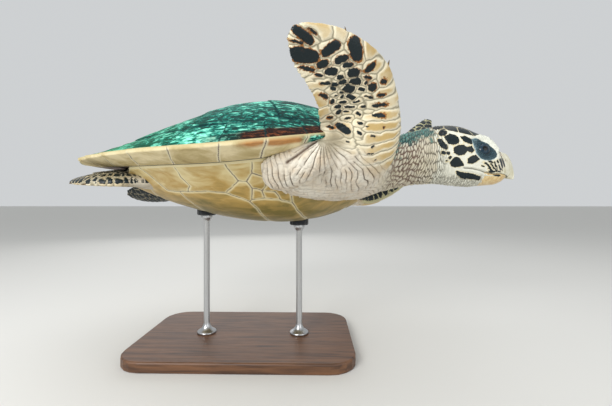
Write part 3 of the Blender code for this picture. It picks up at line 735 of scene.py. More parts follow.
tailRows = [
    ((0.104, 0.0, -0.0185), 0.040, 0.011), ((0.080, 0.0, -0.0185), 0.038, 0.017),
    ((0.050, 0.0, -0.018), 0.026, 0.016), ((0.028, 0.0, -0.016), 0.013, 0.011),
    ((0.016, 0.0, -0.014), 0.006, 0.006),
]
bodyCurve = curveThrough(bodyRows, 12)


def bodyAt(x):
    return [np.interp(x, bodyCurve[:, 0], bodyCurve[:, k]) for k in range(1, 6)]


def bodyPoint(x, angle, out=0.0):
    # a point on the body's surface at distance x, angle from its left side up and over
    half, low, high, square, topHeavy = bodyAt(x)
    middle, tall = (low + high) / 2, (high - low) / 2
    c, s = np.cos(angle), np.sin(angle)
    y = (half + out) * (1 + topHeavy * s) * np.sign(c) * np.abs(c) ** square
    z = middle + (tall + out) * np.sign(s) * np.abs(s) ** square
    return np.stack(np.broadcast_arrays(x, y, z), axis=-1)


def limbLine(limb, steps=20):
    rows = curveThrough(limb["rows"], steps)
    centre = rows[:, :3]
    along = unit(np.gradient(centre, axis=0))
    palm = np.array(limb["palm"])
    leading = unit(np.cross(along, palm) if limb["right"] else np.cross(palm, along))
    under = unit(np.cross(leading, along) if limb["right"] else np.cross(along, leading))
    run = np.r_[0, np.cumsum(np.linalg.norm(np.diff(centre, axis=0), axis=1))]
    return {"centre": centre, "along": along, "leading": leading, "under": under,
            "width": rows[:, 3], "thick": rows[:, 4], "run": run}


lines = {name: limbLine(limb) for name, limb in limbs.items()}


def limbRings(line, every, count):
    angle = 2 * pi * np.arange(count) / count
    rings = []
    for i in range(0, len(line["run"]), every):
        across, up = np.cos(angle)[:, None], np.sin(angle)[:, None]
        body = 0.62 + 0.38 * across if line["thick"][i] < 0.035 else 1.0
        rings.append(line["centre"][i] + line["leading"][i] * across * line["width"][i] / 2
                     + line["under"][i] * up * body * line["thick"][i] / 2)
    return np.array(rings)


def limbPlace(points, line):
    # for each point: metres along the limb, share across it, metres towards its underside, half thickness
    centre = line["centre"]
    nearest = np.empty(len(points), int)
    for start in range(0, len(points), 20000):
        part = points[start:start + 20000]
        far = (centre ** 2).sum(1)[None] - 2 * part @ centre.T
        nearest[start:start + 20000] = far.argmin(1)
    offset = points - centre[nearest]
    slide = (offset * line["along"][nearest]).sum(1)
    run = line["run"][nearest] + np.clip(slide, -0.01, 0.01)
    side = (offset * line["leading"][nearest]).sum(1)
    under = (offset * line["under"][nearest]).sum(1)
    half = line["width"][nearest] / 2
    return run, side, side / half, under, line["thick"][nearest] / 2, line["under"][nearest], slide


# skin
eyeLook = {"radius": 0.0175, "pupil": 0.30, "iris": 0.60, "black": "#020405", "irisDark": "#08161f",
           "irisPale": "#1d3c50", "white": "#0b1f28", "gaze": (0.07, 1.0, 0.24)}
skinLook = {
    "voxel": 0.0016,
    "fineFrom": 0.660,               # ahead of this the skin is twice as fine
    "lidThickness": 0.0015,
    # nape and napeDark: the darker top of the neck, tinted green partly by painted blue-green water light
    "white": "#e0d9ca", "whiteDeep": "#cbbca6", "neck": "#cdc5ae", "nape": "#4f8f86", "napeDark": "#16383a",
    # creaseGrey and creaseRose are painted shade in the skin's creases, rose towards the shoulder
    "creaseGrey": "#4d4838", "creaseRose": "#5c3c30", "cream": "#e6dcc0", "ochre": "#c2a66e",
    "seam": "#878069", "dark": "#08191d", "darkBrown": "#38241a", "rust": "#94602c",
    "headCream": "#d9d8c9", "headRim": "#d8caa0", "lid": "#0d2630", "lidSpeck": "#4a6f7c",
    # lidPale colours the lids' pale rings and creases and the painted highlight round the orbit
    "lidPale": "#9cbac2", "brow": "#e6e6d8", "browShade": "#c9cfc2", "mouth": "#3f3d36",
    "bladeEdge": "#b9b48c", "dusk": "#8d836c",
}

# dark scales on the underside of a front flipper: mm along it, mm towards its leading edge,
# half length, half width, tilt in degrees
flipperScales = [
    (336, 6, 14.5, 5.6, 1), (331, 17, 7.4, 2.6, -9), (340, -5, 8.5, 1.9, -24), (322, -12, 20.0, 9.2, -23),
    (307, -23, 11.0, 2.6, -22), (294, -7, 8.4, 5.2, -51), (298, 14, 13.5, 6.4, -66), (278, 12, 9.2, 4.8, -56),
    (272, 33, 14.0, 8.6, 36), (266, 13, 7.4, 3.6, -49), (277, -7, 8.8, 6.0, -36), (252, 12, 9.3, 6.0, -45),
    (241, 34, 8.2, 4.0, -76), (287, -20, 6.0, 1.9, -27), (261, -4, 5.5, 3.8, -17), (240, 8, 9.2, 5.6, -48),
    (233, 24, 6.0, 2.0, -37), (252, -6, 5.7, 4.2, -41), (271, -23, 9.3, 2.5, -26), (259, -16, 5.5, 3.5, -38),
    (237, -5, 10.0, 6.9, -28), (218, 25, 6.5, 5.2, -59), (223, 10, 5.5, 3.0, -51), (228, 19, 3.0, 1.9, -60),
    (255, -21, 5.0, 3.5, -39), (240, -15, 4.2, 2.3, -44), (242, -24, 3.2, 2.5, -39), (232, -18, 3.6, 3.0, 17),
    (222, -8, 7.5, 3.7, -41), (208, 16, 7.8, 2.2, -53), (235, -33, 6.2, 3.9, 20), (221, -22, 6.0, 3.4, -50),
    (210, -3, 5.7, 2.0, -70), (216, -30, 6.0, 3.7, -50), (207, -15, 7.8, 2.6, -61), (197, 5, 5.2, 2.2, -65),
    (205, -31, 4.8, 3.8, 35), (200, -21, 4.7, 2.0, -65), (187, -4, 5.6, 2.4, -39), (201, -45, 4.6, 2.6, -59),
    (187, -21, 5.0, 2.0, -68), (171, -7, 4.6, 2.5, -67), (172, -33, 15.5, 6.0, -29), (157, -11, 5.5, 2.2, -57),
    (181, -50, 5.2, 2.8, -34),
]
# broad pale scales along its edges and base, and the small dark marks some of them carry
broadScales = [
    (330, 23, 26, 6, -14), (299, 33, 9, 6, 24), (203, 36, 5, 13, 10), (190, 31, 5.5, 22, 16),
    (174, 27, 5.5, 24, 14), (158, 26, 5.5, 26, 12), (143, 24, 4.5, 28, 10), (130, 22, 4.5, 30, 8),
    (117, 18, 4.5, 32, 6), (104, 14, 4.5, 34, 4), (217, 45, 5, 7, 20), (249, -43, 13, 5, -4),
    (222, -50, 10, 5, 0), (160, -48, 6, 9, 30), (146, -36, 4.5, 14, 24), (132, -34, 4.5, 18, 16),
    (118, -34, 4.5, 18, 10), (185, 12, 3.5, 5, 20), (256, 47, 6, 6, 30),
]
flipperMarks = [
    (189, 29, 12.0, 2.6, -70), (175, 24, 10.6, 3.0, -68), (202, 34, 6.0, 2.4, -66), (156, 29, 1.9, 1.4, -75),
    (149, 10, 3.4, 1.4, -82), (136, 10, 3.4, 1.3, -83), (128, 6, 7.0, 1.4, -77), (217, 43, 4.8, 2.9, -59),
    (256, -37, 9.0, 2.6, -8), (148, -30, 3.0, 1.0, -70), (164, 2, 2.6, 1.0, -70), (116, 16, 2.6, 1.0, -80),
]
# scales on the side of the head, as outlines from the side in mm: ahead, up
headScales = {
    "temple": [(755, 63), (759, 67), (765, 68), (768, 63), (767, 59), (761, 54), (753, 54), (752, 58)],
    "upperTemple": [(761, 51), (773, 57), (781, 54), (786, 50), (788, 42), (785, 37), (776, 35), (767, 37)],
    "overEye": [(792, 51), (801, 52), (808, 48), (813, 45), (813, 37), (805, 38), (797, 43)],
    "rear": [(748, 47), (754, 46), (759, 39), (765, 30), (763, 26), (757, 27), (751, 32), (748, 40)],
    "cheekTop": [(777, 28), (786, 33), (795, 34), (803, 29), (812, 32), (816, 24), (812, 19), (803, 23),
                 (797, 16), (785, 14), (778, 19)],
    "cheekFront": [(805, 7), (812, 12), (820, 14), (828, 7), (823, 3), (815, -1), (806, -1)],
    "cheek": [(772, 1), (777, 8), (781, 10), (787, 8), (795, -1), (797, -6), (781, -8), (774, -5)],
    "jaw": [(786, -16), (803, -20), (817, -21), (838, -27), (838, -33), (824, -30), (810, -30), (799, -28),
            (790, -23)],
}
headFlecks = [   # small marks: ahead, up, half length, half height, tilt
    (757, 19, 4.6, 3.2, -10), (766.5, 18, 3.0, 2.8, 0), (770.5, 10, 3.2, 2.4, 40), (854, 2.5, 6.4, 1.7, -20),
    (872.5, 3.5, 4.4, 2.0, -50), (850, -5.5, 7.8, 1.6, -36), (871, -9, 5.2, 1.3, -78), (882, -8, 7.0, 1.4, -56),
    (861, -16.6, 8.5, 1.6, -4), (874, -22.6, 9.0, 2.3, -8), (862, -8.0, 4.6, 1.5, -50), (764, 4, 2.0, 1.2, 0),
    (845, -2.0, 5.0, 1.3, -30), (858, -4.0, 5.0, 1.2, -38), (856, -12.5, 6.0, 1.3, -24),
    (866, -2.0, 5.5, 1.5, -62),
    (869, -13.0, 5.0, 1.4, -40), (838, -6.5, 3.0, 1.0, -20),
]
orbit = [(814, 47), (817, 34), (822, 19), (831, 8), (841, 5), (854, 5), (865, 8), (872, 14), (874, 23),
         (869, 32), (861, 41), (852, 46), (839, 50), (825, 50)]
browBand = [(820, 50), (828, 55), (841, 60), (853, 58), (864, 50), (872, 42), (879, 34), (876, 24), (872, 18),
            (869, 25), (858, 35), (846, 42), (834, 47), (826, 49)]
crownEdge = [(0.740, 0.066), (0.755, 0.0690), (0.774, 0.0650), (0.790, 0.0600), (0.803, 0.0570),
             (0.815, 0.0540), (0.823, 0.0530), (0.832, 0.0570), (0.845, 0.0590), (0.860, 0.0530),
             (0.870, 0.0450), (0.875, 0.0320), (0.878, 0.0200), (0.884, 0.0120), (0.892, 0.0080)]
armpitCrease = [(0.516, 0.0165), (0.506, 0.0140), (0.492, 0.0040), (0.476, -0.0080), (0.460, -0.0180)]
# where skin meets the belly plates: share of shell length, share of the width to the bridge
skinEdge = [(0.615, 1.0), (0.639, 0.915), (0.640, 0.86), (0.640, 0.80), (0.659, 0.749), (0.670, 0.679),
            (0.701, 0.634), (0.735, 0.624), (0.79, 0.60), (0.821, 0.584), (0.86, 0.50), (0.89, 0.35)]
mouthLine = [(0.799, -0.0105), (0.815, -0.0115), (0.833, -0.0148), (0.845, -0.0185), (0.861, -0.0202),
             (0.880, -0.0192), (0.897, -0.0208), (0.909, -0.0240)]
# top of the head, half of it: ahead, out, radius in mm
crownScales = [(877, 6, 6), (863, 8, 8), (845, 0, 10), (848, 19, 8), (822, 0, 13), (827, 26, 10),
               (799, 16, 14), (802, 42, 9), (777, 12, 10), (779, 36, 10),
               (757, 24, 9), (757, 5, 8), (762, 44, 8), (741, 14, 8)]


def ellipseDepth(u, v, rows, unitSize=0.001):
    # metres inside (+) each of several tilted ovals: the deepest, the second deepest, and which is deepest
    best = np.full(len(u), -9.0)
    second = np.full(len(u), -9.0)
    which = np.zeros(len(u), int)
    for i, (cu, cv, long, wide, tilt) in enumerate(rows):
        a = radians(tilt)
        du, dv = u - cu * unitSize, v - cv * unitSize
        p, q = du * cos(a) + dv * sin(a), -du * sin(a) + dv * cos(a)
        p, q = p / (long * unitSize), q / (wide * unitSize)
        r = np.sqrt(p * p + q * q) + 1e-6
        rSquare = (np.abs(p) ** 2.6 + np.abs(q) ** 2.6) ** (1 / 2.6) + 1e-6
        gradient = np.sqrt((p / long) ** 2 + (q / wide) ** 2) / r / unitSize
        depth = (1 - rSquare) / np.maximum(gradient, 1e-6)
        which = np.where(depth > best, i, which)
        second = np.where(depth > best, best, np.maximum(second, depth))
        best = np.maximum(best, depth)
    return best, second, which


# soft shoulder: centre, half its width up the side, half its thickness
shoulderRows = [
    [((0.417, -0.180, -0.030), 0.018, 0.005), ((0.430, -0.181, -0.032), 0.031, 0.012),
     ((0.450, -0.180, -0.029), 0.038, 0.018), ((0.475, -0.180, -0.020), 0.040, 0.025),
     ((0.500, -0.184, -0.007), 0.035, 0.029), ((0.524, -0.184, 0.002), 0.029, 0.027),
     ((0.542, -0.176, 0.002), 0.020, 0.019)],
    [((0.416, 0.180, -0.029), 0.018, 0.005), ((0.430, 0.183, -0.029), 0.027, 0.012),
     ((0.450, 0.183, -0.025), 0.031, 0.018), ((0.480, 0.180, -0.020), 0.032, 0.024),
     ((0.510, 0.175, -0.020), 0.032, 0.028), ((0.545, 0.160, -0.026), 0.028, 0.026)],
]


def buildSkinBase():
    # overlapping closed tubes, melted into one skin by a voxel remesh
    points, faces, total = [], [], 0

    def addTube(rings):
        nonlocal total
        rows, columns = rings.shape[:2]
        points.append(rings.reshape(-1, 3))
        faces.extend(tubeFaces(rows, columns, total))
        total += rows * columns

    # the soft shoulder fills the notch between rim and belly plates on each side
    for rowsOf in shoulderRows:
        line = curveThrough(rowsOf, 8)
        turn = 2 * pi * np.arange(40) / 40
        side = np.sign(line[0, 1])
        upSide = np.array([0.0, side, 1.0]) / sqrt(2)
        outward = np.array([0.0, side, -1.0]) / sqrt(2)
        addTube(line[:, None, :3] + line[:, 3][:, None, None] * upSide * np.cos(turn)[None, :, None]
                + line[:, 4][:, None, None] * outward * np.sin(turn)[None, :, None])
    rows = curveThrough(bodyRows, 8)
    angle = 2 * pi * np.arange(96) / 96
    rings = []
    for row in rows:
        x, half, low, high, square, topHeavy = row
        if x > 0.916:
            continue
        core = smoothStep(0.215, 0.26, x) * smoothStep(0.43, 0.39, x)   # out of sight inside the shell
        half = blendTo(half, 0.012, core)
        low, high = blendTo(low, -0.030, core), blendTo(high, -0.008, core)
        tuck = 0.0022 * smoothStep(0.876, 0.896, x)                           # under the beak's horn
        half, low, high = half - tuck, low + tuck, high - tuck
        middle, tall = (low + high) / 2, (high - low) / 2
        c, s = np.cos(angle), np.sin(angle)
        y = half * (1 + topHeavy * s) * np.sign(c) * np.abs(c) ** square
        rings.append(np.stack([0 * y + x, y, middle + tall * np.sign(s) * np.abs(s) ** square], axis=1))
    addTube(np.array(rings))
    for line in lines.values():
        addTube(limbRings(line, 3, 64))
    tail = curveThrough(tailRows, 8)
    angle = 2 * pi * np.arange(40) / 40
    addTube(np.stack([np.repeat(tail[:, :1], 40, 1), tail[:, 1:2] + tail[:, 3:4] / 2 * np.cos(angle),
                      tail[:, 2:3] + tail[:, 4:5] / 2 * np.sin(angle)], axis=-1))

    mesh = makeMesh("skinTubes", np.vstack(points), faces)
    tubes = bpy.data.objects.new("skinTubes", mesh)
    scene.collection.objects.link(tubes)
    remesh = tubes.modifiers.new("melt", "REMESH")
    remesh.mode = "VOXEL"
    remesh.voxel_size = skinLook["voxel"]
    bpy.context.view_layer.update()
    melted = bpy.data.meshes.new_from_object(tubes.evaluated_get(bpy.context.evaluated_depsgraph_get()))
    bpy.data.objects.remove(tubes)

    spots = readPoints(melted)
    fine = (spots[:, 0] > skinLook["fineFrom"]) & (np.abs(spots[:, 1]) < 0.1)
    palm = readNormals(melted) @ np.array(limbs["frontRight"]["palm"])
    fine |= (spots[:, 1] < -0.11) & (spots[:, 0] > 0.42) & (palm > -0.25)
    body = bmesh.new()
    body.from_mesh(melted)
    edges = [edge for edge in body.edges if fine[edge.verts[0].index] and fine[edge.verts[1].index]]
    bmesh.ops.subdivide_edges(body, edges=edges, cuts=1, use_grid_fill=True)
    body.to_mesh(melted)
    body.free()
    return melted


def openingSpace(points, side):
    # the eye seen from outside: from its centre, how far out, and 1 on the tilted oval of its opening
    local = points - eyeSpot * np.array([1, side, 1])
    a = radians(-32)
    u, v = local[:, 0] - 0.0010, local[:, 2] - 0.0036
    p, q = u * cos(a) + v * sin(a), -u * sin(a) + v * cos(a)
    q = q + 0.0012 * (p / 0.013) ** 2 * np.sign(q)                # pointed at both corners
    return local, local[:, 1] * side, np.hypot(p / 0.0150, q / 0.0108)


def shapeHead(points, normals):
    # lids round the eyes, the line of the mouth, the brow and the step up to the beak
    ball = eyeLook["radius"]
    for eyeSide in (1, -1):
        local, out, oval = openingSpace(points, eyeSide)
        near = np.linalg.norm(local, axis=1)
        want = blendTo(ball - 0.0022, ball + skinLook["lidThickness"], smoothStep(0.94, 1.10, oval))
        # wrinkles of the lids run round the opening
        wave = np.sin((oval - 1.1) * 17 + 1.5 * softNoise(points, 0.006, 18))
        want = want + 0.00030 * wave * smoothStep(1.12, 1.25, oval)
        weight = smoothStep(1.95, 1.40, oval) * ((out > 0.002) & (near < 0.036) & (points[:, 0] > 0.81))
        target = points - local + local / np.maximum(near, 1e-6)[:, None] * want[:, None]
        points = points + (target - points) * weight[:, None]
    x, y, z = points.T
    inOrbit = outlineDistance(x, z, orbit)
    inBrow = outlineDistance(x, z, browBand)
    outer = (np.abs(y) > 0.012) & (x > 0.80)
    step = 0.0009 * smoothStep(-0.006, -0.001, -np.abs(inOrbit + 0.003)) * (inOrbit < 0)
    step = step - 0.0012 * np.exp(-(inOrbit / 0.0013) ** 2) * (inBrow < 0)
    ridge = 0.0022 * smoothStep(-0.0015, 0.0030, inBrow) * (1 + 0.35 * softNoise(points, 0.0035, 17))
    points = points + normals * ((step + ridge) * outer)[:, None]
    x, y, z = points.T
    mouth = lineDistance(x, z, mouthLine)
    onHead = (x > 0.79) & (np.abs(y) > 0.008)
    groove = 0.0019 * np.exp(-(mouth / 0.0015) ** 2) * onHead * smoothStep(0.796, 0.812, x)
    lip = 0.0009 * np.exp(-((mouth - 0.0042) / 0.0022) ** 2) * onHead
    dip = 0.0024 * np.exp(-((x - 0.8860) / 0.0042) ** 2) * smoothStep(0.012, 0.024, z)
    cheek = 0.0016 * np.exp(-((x - 0.795) / 0.020) ** 2 - ((z - 0.002) / 0.018) ** 2)
    return points - normals * (groove - lip + dip - cheek)[:, None]


def placeOnLimbs(points):
    # the limb each point lies on, if any, metres along it, metres and share across it, and where
    # its underside faces
    limbOf = np.full(len(points), -1)
    run, aside, across = (np.zeros(len(points)) for _ in range(3))
    downward = np.zeros((len(points), 3))
    for number, line in enumerate(lines.values()):
        low, high = line["centre"].min(0) - 0.07, line["centre"].max(0) + 0.07
        box = np.where(np.all((points > low) & (points < high), axis=1))[0]
        r, s, a, u, h, d, slide = limbPlace(points[box], line)
        fits = (np.abs(a) < 1.12) & (np.abs(u) < h + 0.004) & (r > 0.02) & (np.abs(slide) < 0.012)
        picked = box[fits]
        limbOf[picked] = number
        run[picked], aside[picked], across[picked] = r[fits], s[fits], a[fits]
        downward[picked] = d[fits]
    return limbOf, run, aside, across, downward


def take(skin, chosen, names):
    # these of the skin's values, at the chosen points only
    return [getattr(skin, name)[chosen] for name in names.split()]


def markFrontFlippers(skin):
    # underneath, each scale of the tables with a pale seam round it
    pick = np.where(skin.front & (skin.run > 0.06))[0]
    spot, run, aside, across, below, limbOf = take(skin, pick, "points run aside across below limbOf")
    everyScale = flipperScales + broadScales
    u = run + wobble(spot, (0.0012, 0.009, 31), (0.0005, 0.0035, 34))
    v = aside + wobble(spot, (0.0012, 0.009, 32), (0.0005, 0.0035, 35))
    stretch = np.where(limbOf == 1, lines["frontRight"]["run"][-1] / lines["frontLeft"]["run"][-1], 1.0)
    u = u + 0.0035 * softNoise(spot, 0.028, 37) * smoothStep(0.21, 0.17, u)
    u = (u - 0.012 * np.clip(across, -0.3, 1) ** 2 * smoothStep(0.18, 0.13, u)) * stretch
    deepest, nextDeep, which = ellipseDepth(u, v, everyScale)
    seam = (deepest - nextDeep) / 2
    isDark = which < len(flipperScales)
    dark = np.where(isDark, np.minimum(deepest, seam - 0.0006), -0.006)
    dark = np.maximum(dark, ellipseDepth(u, v, flipperMarks)[0])
    scaly = smoothStep(0.100, 0.135, run + 0.008 * softNoise(spot, 0.02, 33) + 0.032 * across)
    dice = np.array([roll(np.array([i]), np.array([i * 7]), 3, 4)[0] for i in range(len(everyScale))])
    skin.seam[pick] = seam
    skin.patch[pick] = dark + 0.0007 * softNoise(spot, 0.0032, 36)
    skin.warm[pick] = (0.55 * dice[which] + 0.26 * smoothStep(0.27, 0.16, run) * smoothStep(-0.5, 0.3, across)
                       + 0.25 * smoothStep(0.75, 1.0, np.abs(across)) * (1 - isDark))
    skin.inside[pick] = smoothStep(0.0012, 0.0045, seam)
    skin.scaly[pick] = scaly
    skin.dusky[pick] = (smoothStep(-0.25, -0.75, across) * below * smoothStep(0.24, 0.17, run)
                        * smoothStep(0.115, 0.150, run))
    skin.rusty[pick] = 0.15 + 0.85 * np.maximum.reduce([
        smoothStep(0.275, 0.295, run), smoothStep(0.25, 0.45, across), smoothStep(-0.50, -0.70, across)])
    skin.move[pick] += 0.0011 * smoothStep(0.0, 0.0030, seam) * scaly * below


bladeLook = {"frontPlate": 0.0150, "hindPlate": 0.0085}      # length of a dark plate along the limb


def markBlades(skin):
    # every other limb surface: rows of dark plates with pale borders
    blade = np.where(skin.limbOf >= 0)[0]
    spot, run, aside, across, below, limbOf = take(skin, blade, "points run aside across below limbOf")
    front, hind, seam, patch, scaly, warm = take(skin, blade, "front hind seam patch scaly warm")
    size = np.where(front, bladeLook["frontPlate"], bladeLook["hindPlate"])
    wide = size * np.where(front, 0.8 + 0.6 * np.abs(across), 2.8)
    lean = np.where(front, 0.0, 0.35) * aside / size
    near, further, owner = cellField(run / size + lean + 0.15 * softNoise(spot, 0.01, 41),
                                     aside / wide + 40, 42, 0.34)
    border = (further - near) / 2 * size
    topSide = 1 - below
    plated = hind | (topSide > 0.5)
    # the far hind flipper is painted nearly all dark: partly its dark scales, partly painted shade
    shadedFarHind = limbOf == 3
    rim = (1 - np.abs(across)) * lines["frontRight"]["width"].max() / 2
    darkTop = np.minimum(border - 0.0008, np.where(front, rim - 0.003, 9)) + 0.0005 * softNoise(spot, 0.004, 43)
    darkBelow = np.where((owner > 0.06) | shadedFarHind, border - np.where(shadedFarHind, 0.0002, 0.0021), -0.004)
    darkBelow = np.where((below > 0.80) & ~shadedFarHind, -0.004, darkBelow)
    scaly = np.where(hind, smoothStep(0.03, 0.06, run),
                     np.maximum(scaly * below, topSide * smoothStep(0.05, 0.10, run)))
    skin.seam[blade] = np.where(plated, border, seam)
    skin.patch[blade] = np.where(topSide > 0.5, darkTop, np.where(hind, darkBelow, patch))
    skin.upper[blade] = topSide * smoothStep(0.05, 0.09, run) * (1 - hind)
    skin.scaly[blade] = scaly
    skin.warm[blade] = np.where(hind, 0.05 + 0.4 * owner, warm)
    skin.move[blade] += np.where(plated, 0.0008 * smoothStep(0.0, 0.0025, border) * scaly, 0)


shoulderLook = {
    "armpit": (0.516, 0.170, 0.016),       # the folds fan out from here
    "foldsNear": 12, "foldsAway": 20,      # how closely they stand, near it and further away
    "arcSpacing": 0.0082,                  # folds along the belly plates
    "swell": 0.0014, "cutDepth": 0.0026, "pitDepth": 0.0028,
}


def foldShoulders(skin):
    look = shoulderLook
    skin.shoulder = smoothStep(0.40, 0.42, skin.x) * smoothStep(0.665, 0.620, skin.x) * (1 - skin.scaly)
    reach = np.where(skin.shoulder > 0.01)[0]
    spot, mirror, amount = take(skin, reach, "points mirror shoulder")
    fromPit = mirror - np.array(look["armpit"])
    distance = np.hypot(fromPit[:, 0], fromPit[:, 2]) + 1e-6
    turn = np.arctan2(fromPit[:, 2], fromPit[:, 0])
    turn = np.where(turn > 2.2, turn - 2 * pi, turn)
    bent = turn * (1 + 4.0 * distance) + 6.2 * distance + wobble(spot, (0.11, 0.030, 51), (0.022, 0.010, 52))
    fan = blendTo(np.abs(np.sin(bent * look["foldsNear"])), np.abs(np.sin(bent * look["foldsAway"] + 1.0)),
                  smoothStep(0.045, 0.060, distance))
    edgeSpots = []
    corners = np.array(skinEdge)
    for a, b in zip(corners, corners[1:]):
        for k in np.linspace(0, 1, 40):
            t, share = a + (b - a) * k
            y = share * float(seamHalfWidth(t))
            edgeSpots.append((t * shell["length"], y, float(bellyHeight(t, y)) - shell["plateEdge"]))
    fromPlate = nearestOf(mirror, edgeSpots)[1]
    arcs = np.abs(np.sin(pi * (fromPlate + 0.0034 * softNoise(spot, 0.02, 53)) / look["arcSpacing"]))
    folds = blendTo(fan, arcs, smoothStep(0.066, 0.046, fromPlate + 0.010 * softNoise(spot, 0.03, 57)))
    cut = smoothStep(0.34, 0.0, folds)
    strong = cut * np.clip(0.66 + 0.80 * softNoise(spot, 0.022, 54), 0.08, 1.25)
    small = smoothStep(0.22, 0.0, np.abs(softNoise(spot, 0.0075, 55)))
    tiny = softNoise(spot * np.array([1.0, 1.0, 0.7]), 0.0035, 56)
    pit = np.exp(-(lineDistance(mirror[:, 0], spot[:, 2], armpitCrease) / 0.0022) ** 2)
    pit = pit * smoothStep(0.10, 0.14, mirror[:, 1])
    gentle = 0.45 + 0.55 * smoothStep(0.004, 0.022, fromPlate)
    skin.move[reach] += amount * gentle * (look["swell"] * folds - look["cutDepth"] * strong
                                           - 0.0005 * small * (1 - cut) + 0.0004 * tiny
                                           - look["pitDepth"] * pit)
    # the cut folds, fine wrinkles and armpit crease are also darkened in colour: painted shade
    skin.crease[reach] = amount * np.clip(strong + 0.22 * small + pit, 0, 1)


# a fold of the neck, behind the head and at the shoulder: its width and its length
neckLook = {"foldFront": 0.0034, "foldRear": 0.0066, "longFront": 0.0190, "longRear": 0.0125}


def foldNeck(skin):
    # wavy folds round the neck and under the throat
    look = neckLook
    neck = smoothStep(0.590, 0.650, skin.x) * smoothStep(0.775, 0.756, skin.x)
    throat = smoothStep(0.74, 0.76, skin.x) * smoothStep(0.850, 0.825, skin.x)
    throat = throat * smoothStep(-0.020, -0.028, skin.z)
    neck = np.maximum(neck, throat) * (skin.limbOf < 0) * (1 - skin.shoulder)
    reach = np.where(neck > 0.01)[0]
    neck = neck[reach]
    spot, x, y, arc = take(skin, reach, "points x y arc")
    walk = np.linspace(0.55, 0.95, 400)
    foldSize = blendTo(look["foldRear"], look["foldFront"], smoothStep(0.665, 0.750, walk))
    paces = np.r_[0, np.cumsum(np.diff(walk) / foldSize[1:])]
    sideways = arc + 0.2 * (y > 0)
    lean = 0.35 * arc * smoothStep(0.76, 0.66, x)
    fold = np.interp(x - lean + 0.0030 * softNoise(spot, 0.018, 61), walk, paces)
    fold = fold + 0.30 * softNoise(np.stack([fold * 0.5, sideways / 0.010, 0 * fold], axis=1), 1.0, 62)
    longer = blendTo(look["longRear"], look["longFront"], smoothStep(0.68, 0.75, x))
    near, further, owner = cellField(fold, sideways / longer + 60, 63, 0.40)
    gap = (further - near) / 2
    furrow = smoothStep(blendTo(0.22, 0.16, smoothStep(0.69, 0.74, x)), 0.03, gap)
    finer = np.abs(softNoise(spot * np.array([1, 0.7, 0.7]), 0.0022, 64))
    skin.move[reach] += neck * np.interp(x, walk, foldSize) * (
        0.36 * smoothStep(0.0, 0.34, gap) - 0.16 * furrow + 0.10 * owner - 0.05 * (1 - finer))
    # painted shade in the furrows and fine creases, fainter towards the head
    crease = np.clip(furrow * (0.75 + 0.25 * owner) + 0.10 * smoothStep(0.3, 0.0, finer), 0, 1)
    crease = crease * blendTo(1.0, 0.55, smoothStep(0.745, 0.790, x))
    skin.crease[reach] = np.maximum(skin.crease[reach], neck * crease)
    skin.rosy[reach] = neck * smoothStep(0.740, 0.69, x)
    skin.rosy = np.maximum(skin.rosy, 0.6 * skin.shoulder)


def markHead(skin):
    # big plates on the sides of the head and a pavement of them on top, then lids and brow
    head = smoothStep(0.742, 0.748, skin.x + 0.006 * softNoise(skin.points, 0.012, 76))
    head = head * (skin.limbOf < 0) * (np.abs(skin.y) < 0.09)
    reach = np.where(head > 0.0)[0]
    head = head[reach]
    spot = skin.points[reach]
    ahead, out, up = spot[:, 0], np.abs(spot[:, 1]), spot[:, 2]
    ax = ahead + wobble(spot, (0.0006, 0.005, 71), (0.0003, 0.002, 73))
    az = up + wobble(spot, (0.0006, 0.005, 72), (0.0003, 0.002, 74))
    inOrbit = outlineDistance(ax, az, orbit)
    inBrow = outlineDistance(ax, az, browBand)
    side = np.maximum.reduce([outlineDistance(ax, az, corners) for corners in headScales.values()])
    side = np.maximum(np.maximum(side, -0.02) + 0.0011, ellipseDepth(ax, az, headFlecks)[0] + 0.0005)
    rows = [(cx, cy, r, r, 0) for cx, cy, r in crownScales]
    deepest, nextDeep, _ = ellipseDepth(ax, np.maximum(out, 0.0002), rows)
    mirrored = ellipseDepth(ax, -out, [row for row in rows if row[1] > 0])[0]
    nextDeep = np.where(out > 0.0012, np.maximum(nextDeep, mirrored), nextDeep)
    edge = np.array(crownEdge)
    aboveEdge = az - np.interp(ax, edge[:, 0], edge[:, 1])
    onTop = smoothStep(-0.0015, 0.0005, aboveEdge) * smoothStep(0.896, 0.892, ahead)
    top = np.minimum(np.minimum((deepest - nextDeep) / 2, 0.006) - 0.0005, aboveEdge)
    onFace = (out > 0.010) & (ahead > 0.80)
    dark = np.where(onFace & ((inOrbit > 0) | (inBrow > 0)), -0.02, blendTo(side, top, onTop))
    brow = smoothStep(-0.0004, 0.0006, inBrow) * onFace * (out > 0.014)
    skin.patch[reach] = np.where(head > 0.5, dark, skin.patch[reach])
    skin.pale[reach] = head
    skin.move[reach] += 0.0007 * smoothStep(-0.0012, 0.0006, dark) * head
    skin.topSkin[reach] = onTop * head
    skin.brow[reach] = brow
    skin.lid[reach] = smoothStep(-0.0004, 0.0006, inOrbit) * onFace * (1 - brow)
    # a painted highlight as a pale line round the orbit, faint rings inside it, fine upright creases behind the
    # eye
    rimHighlight = np.exp(-(inOrbit / 0.0011) ** 2) * onFace
    rings = (0.5 + 0.5 * np.cos(2 * pi * inOrbit / 0.0042)) * smoothStep(0.016, 0.004, inOrbit)
    upright = np.sin(2 * pi * (ax - 0.35 * az) / 0.0030 + 2.5 * softNoise(spot, 0.008, 75))
    rear = smoothStep(0.55, 0.95, upright) * smoothStep(0.832, 0.822, ax)
    skin.lidTone[reach] = np.clip(0.75 * rimHighlight + 0.10 * rings + 0.75 * rear, 0, 1)


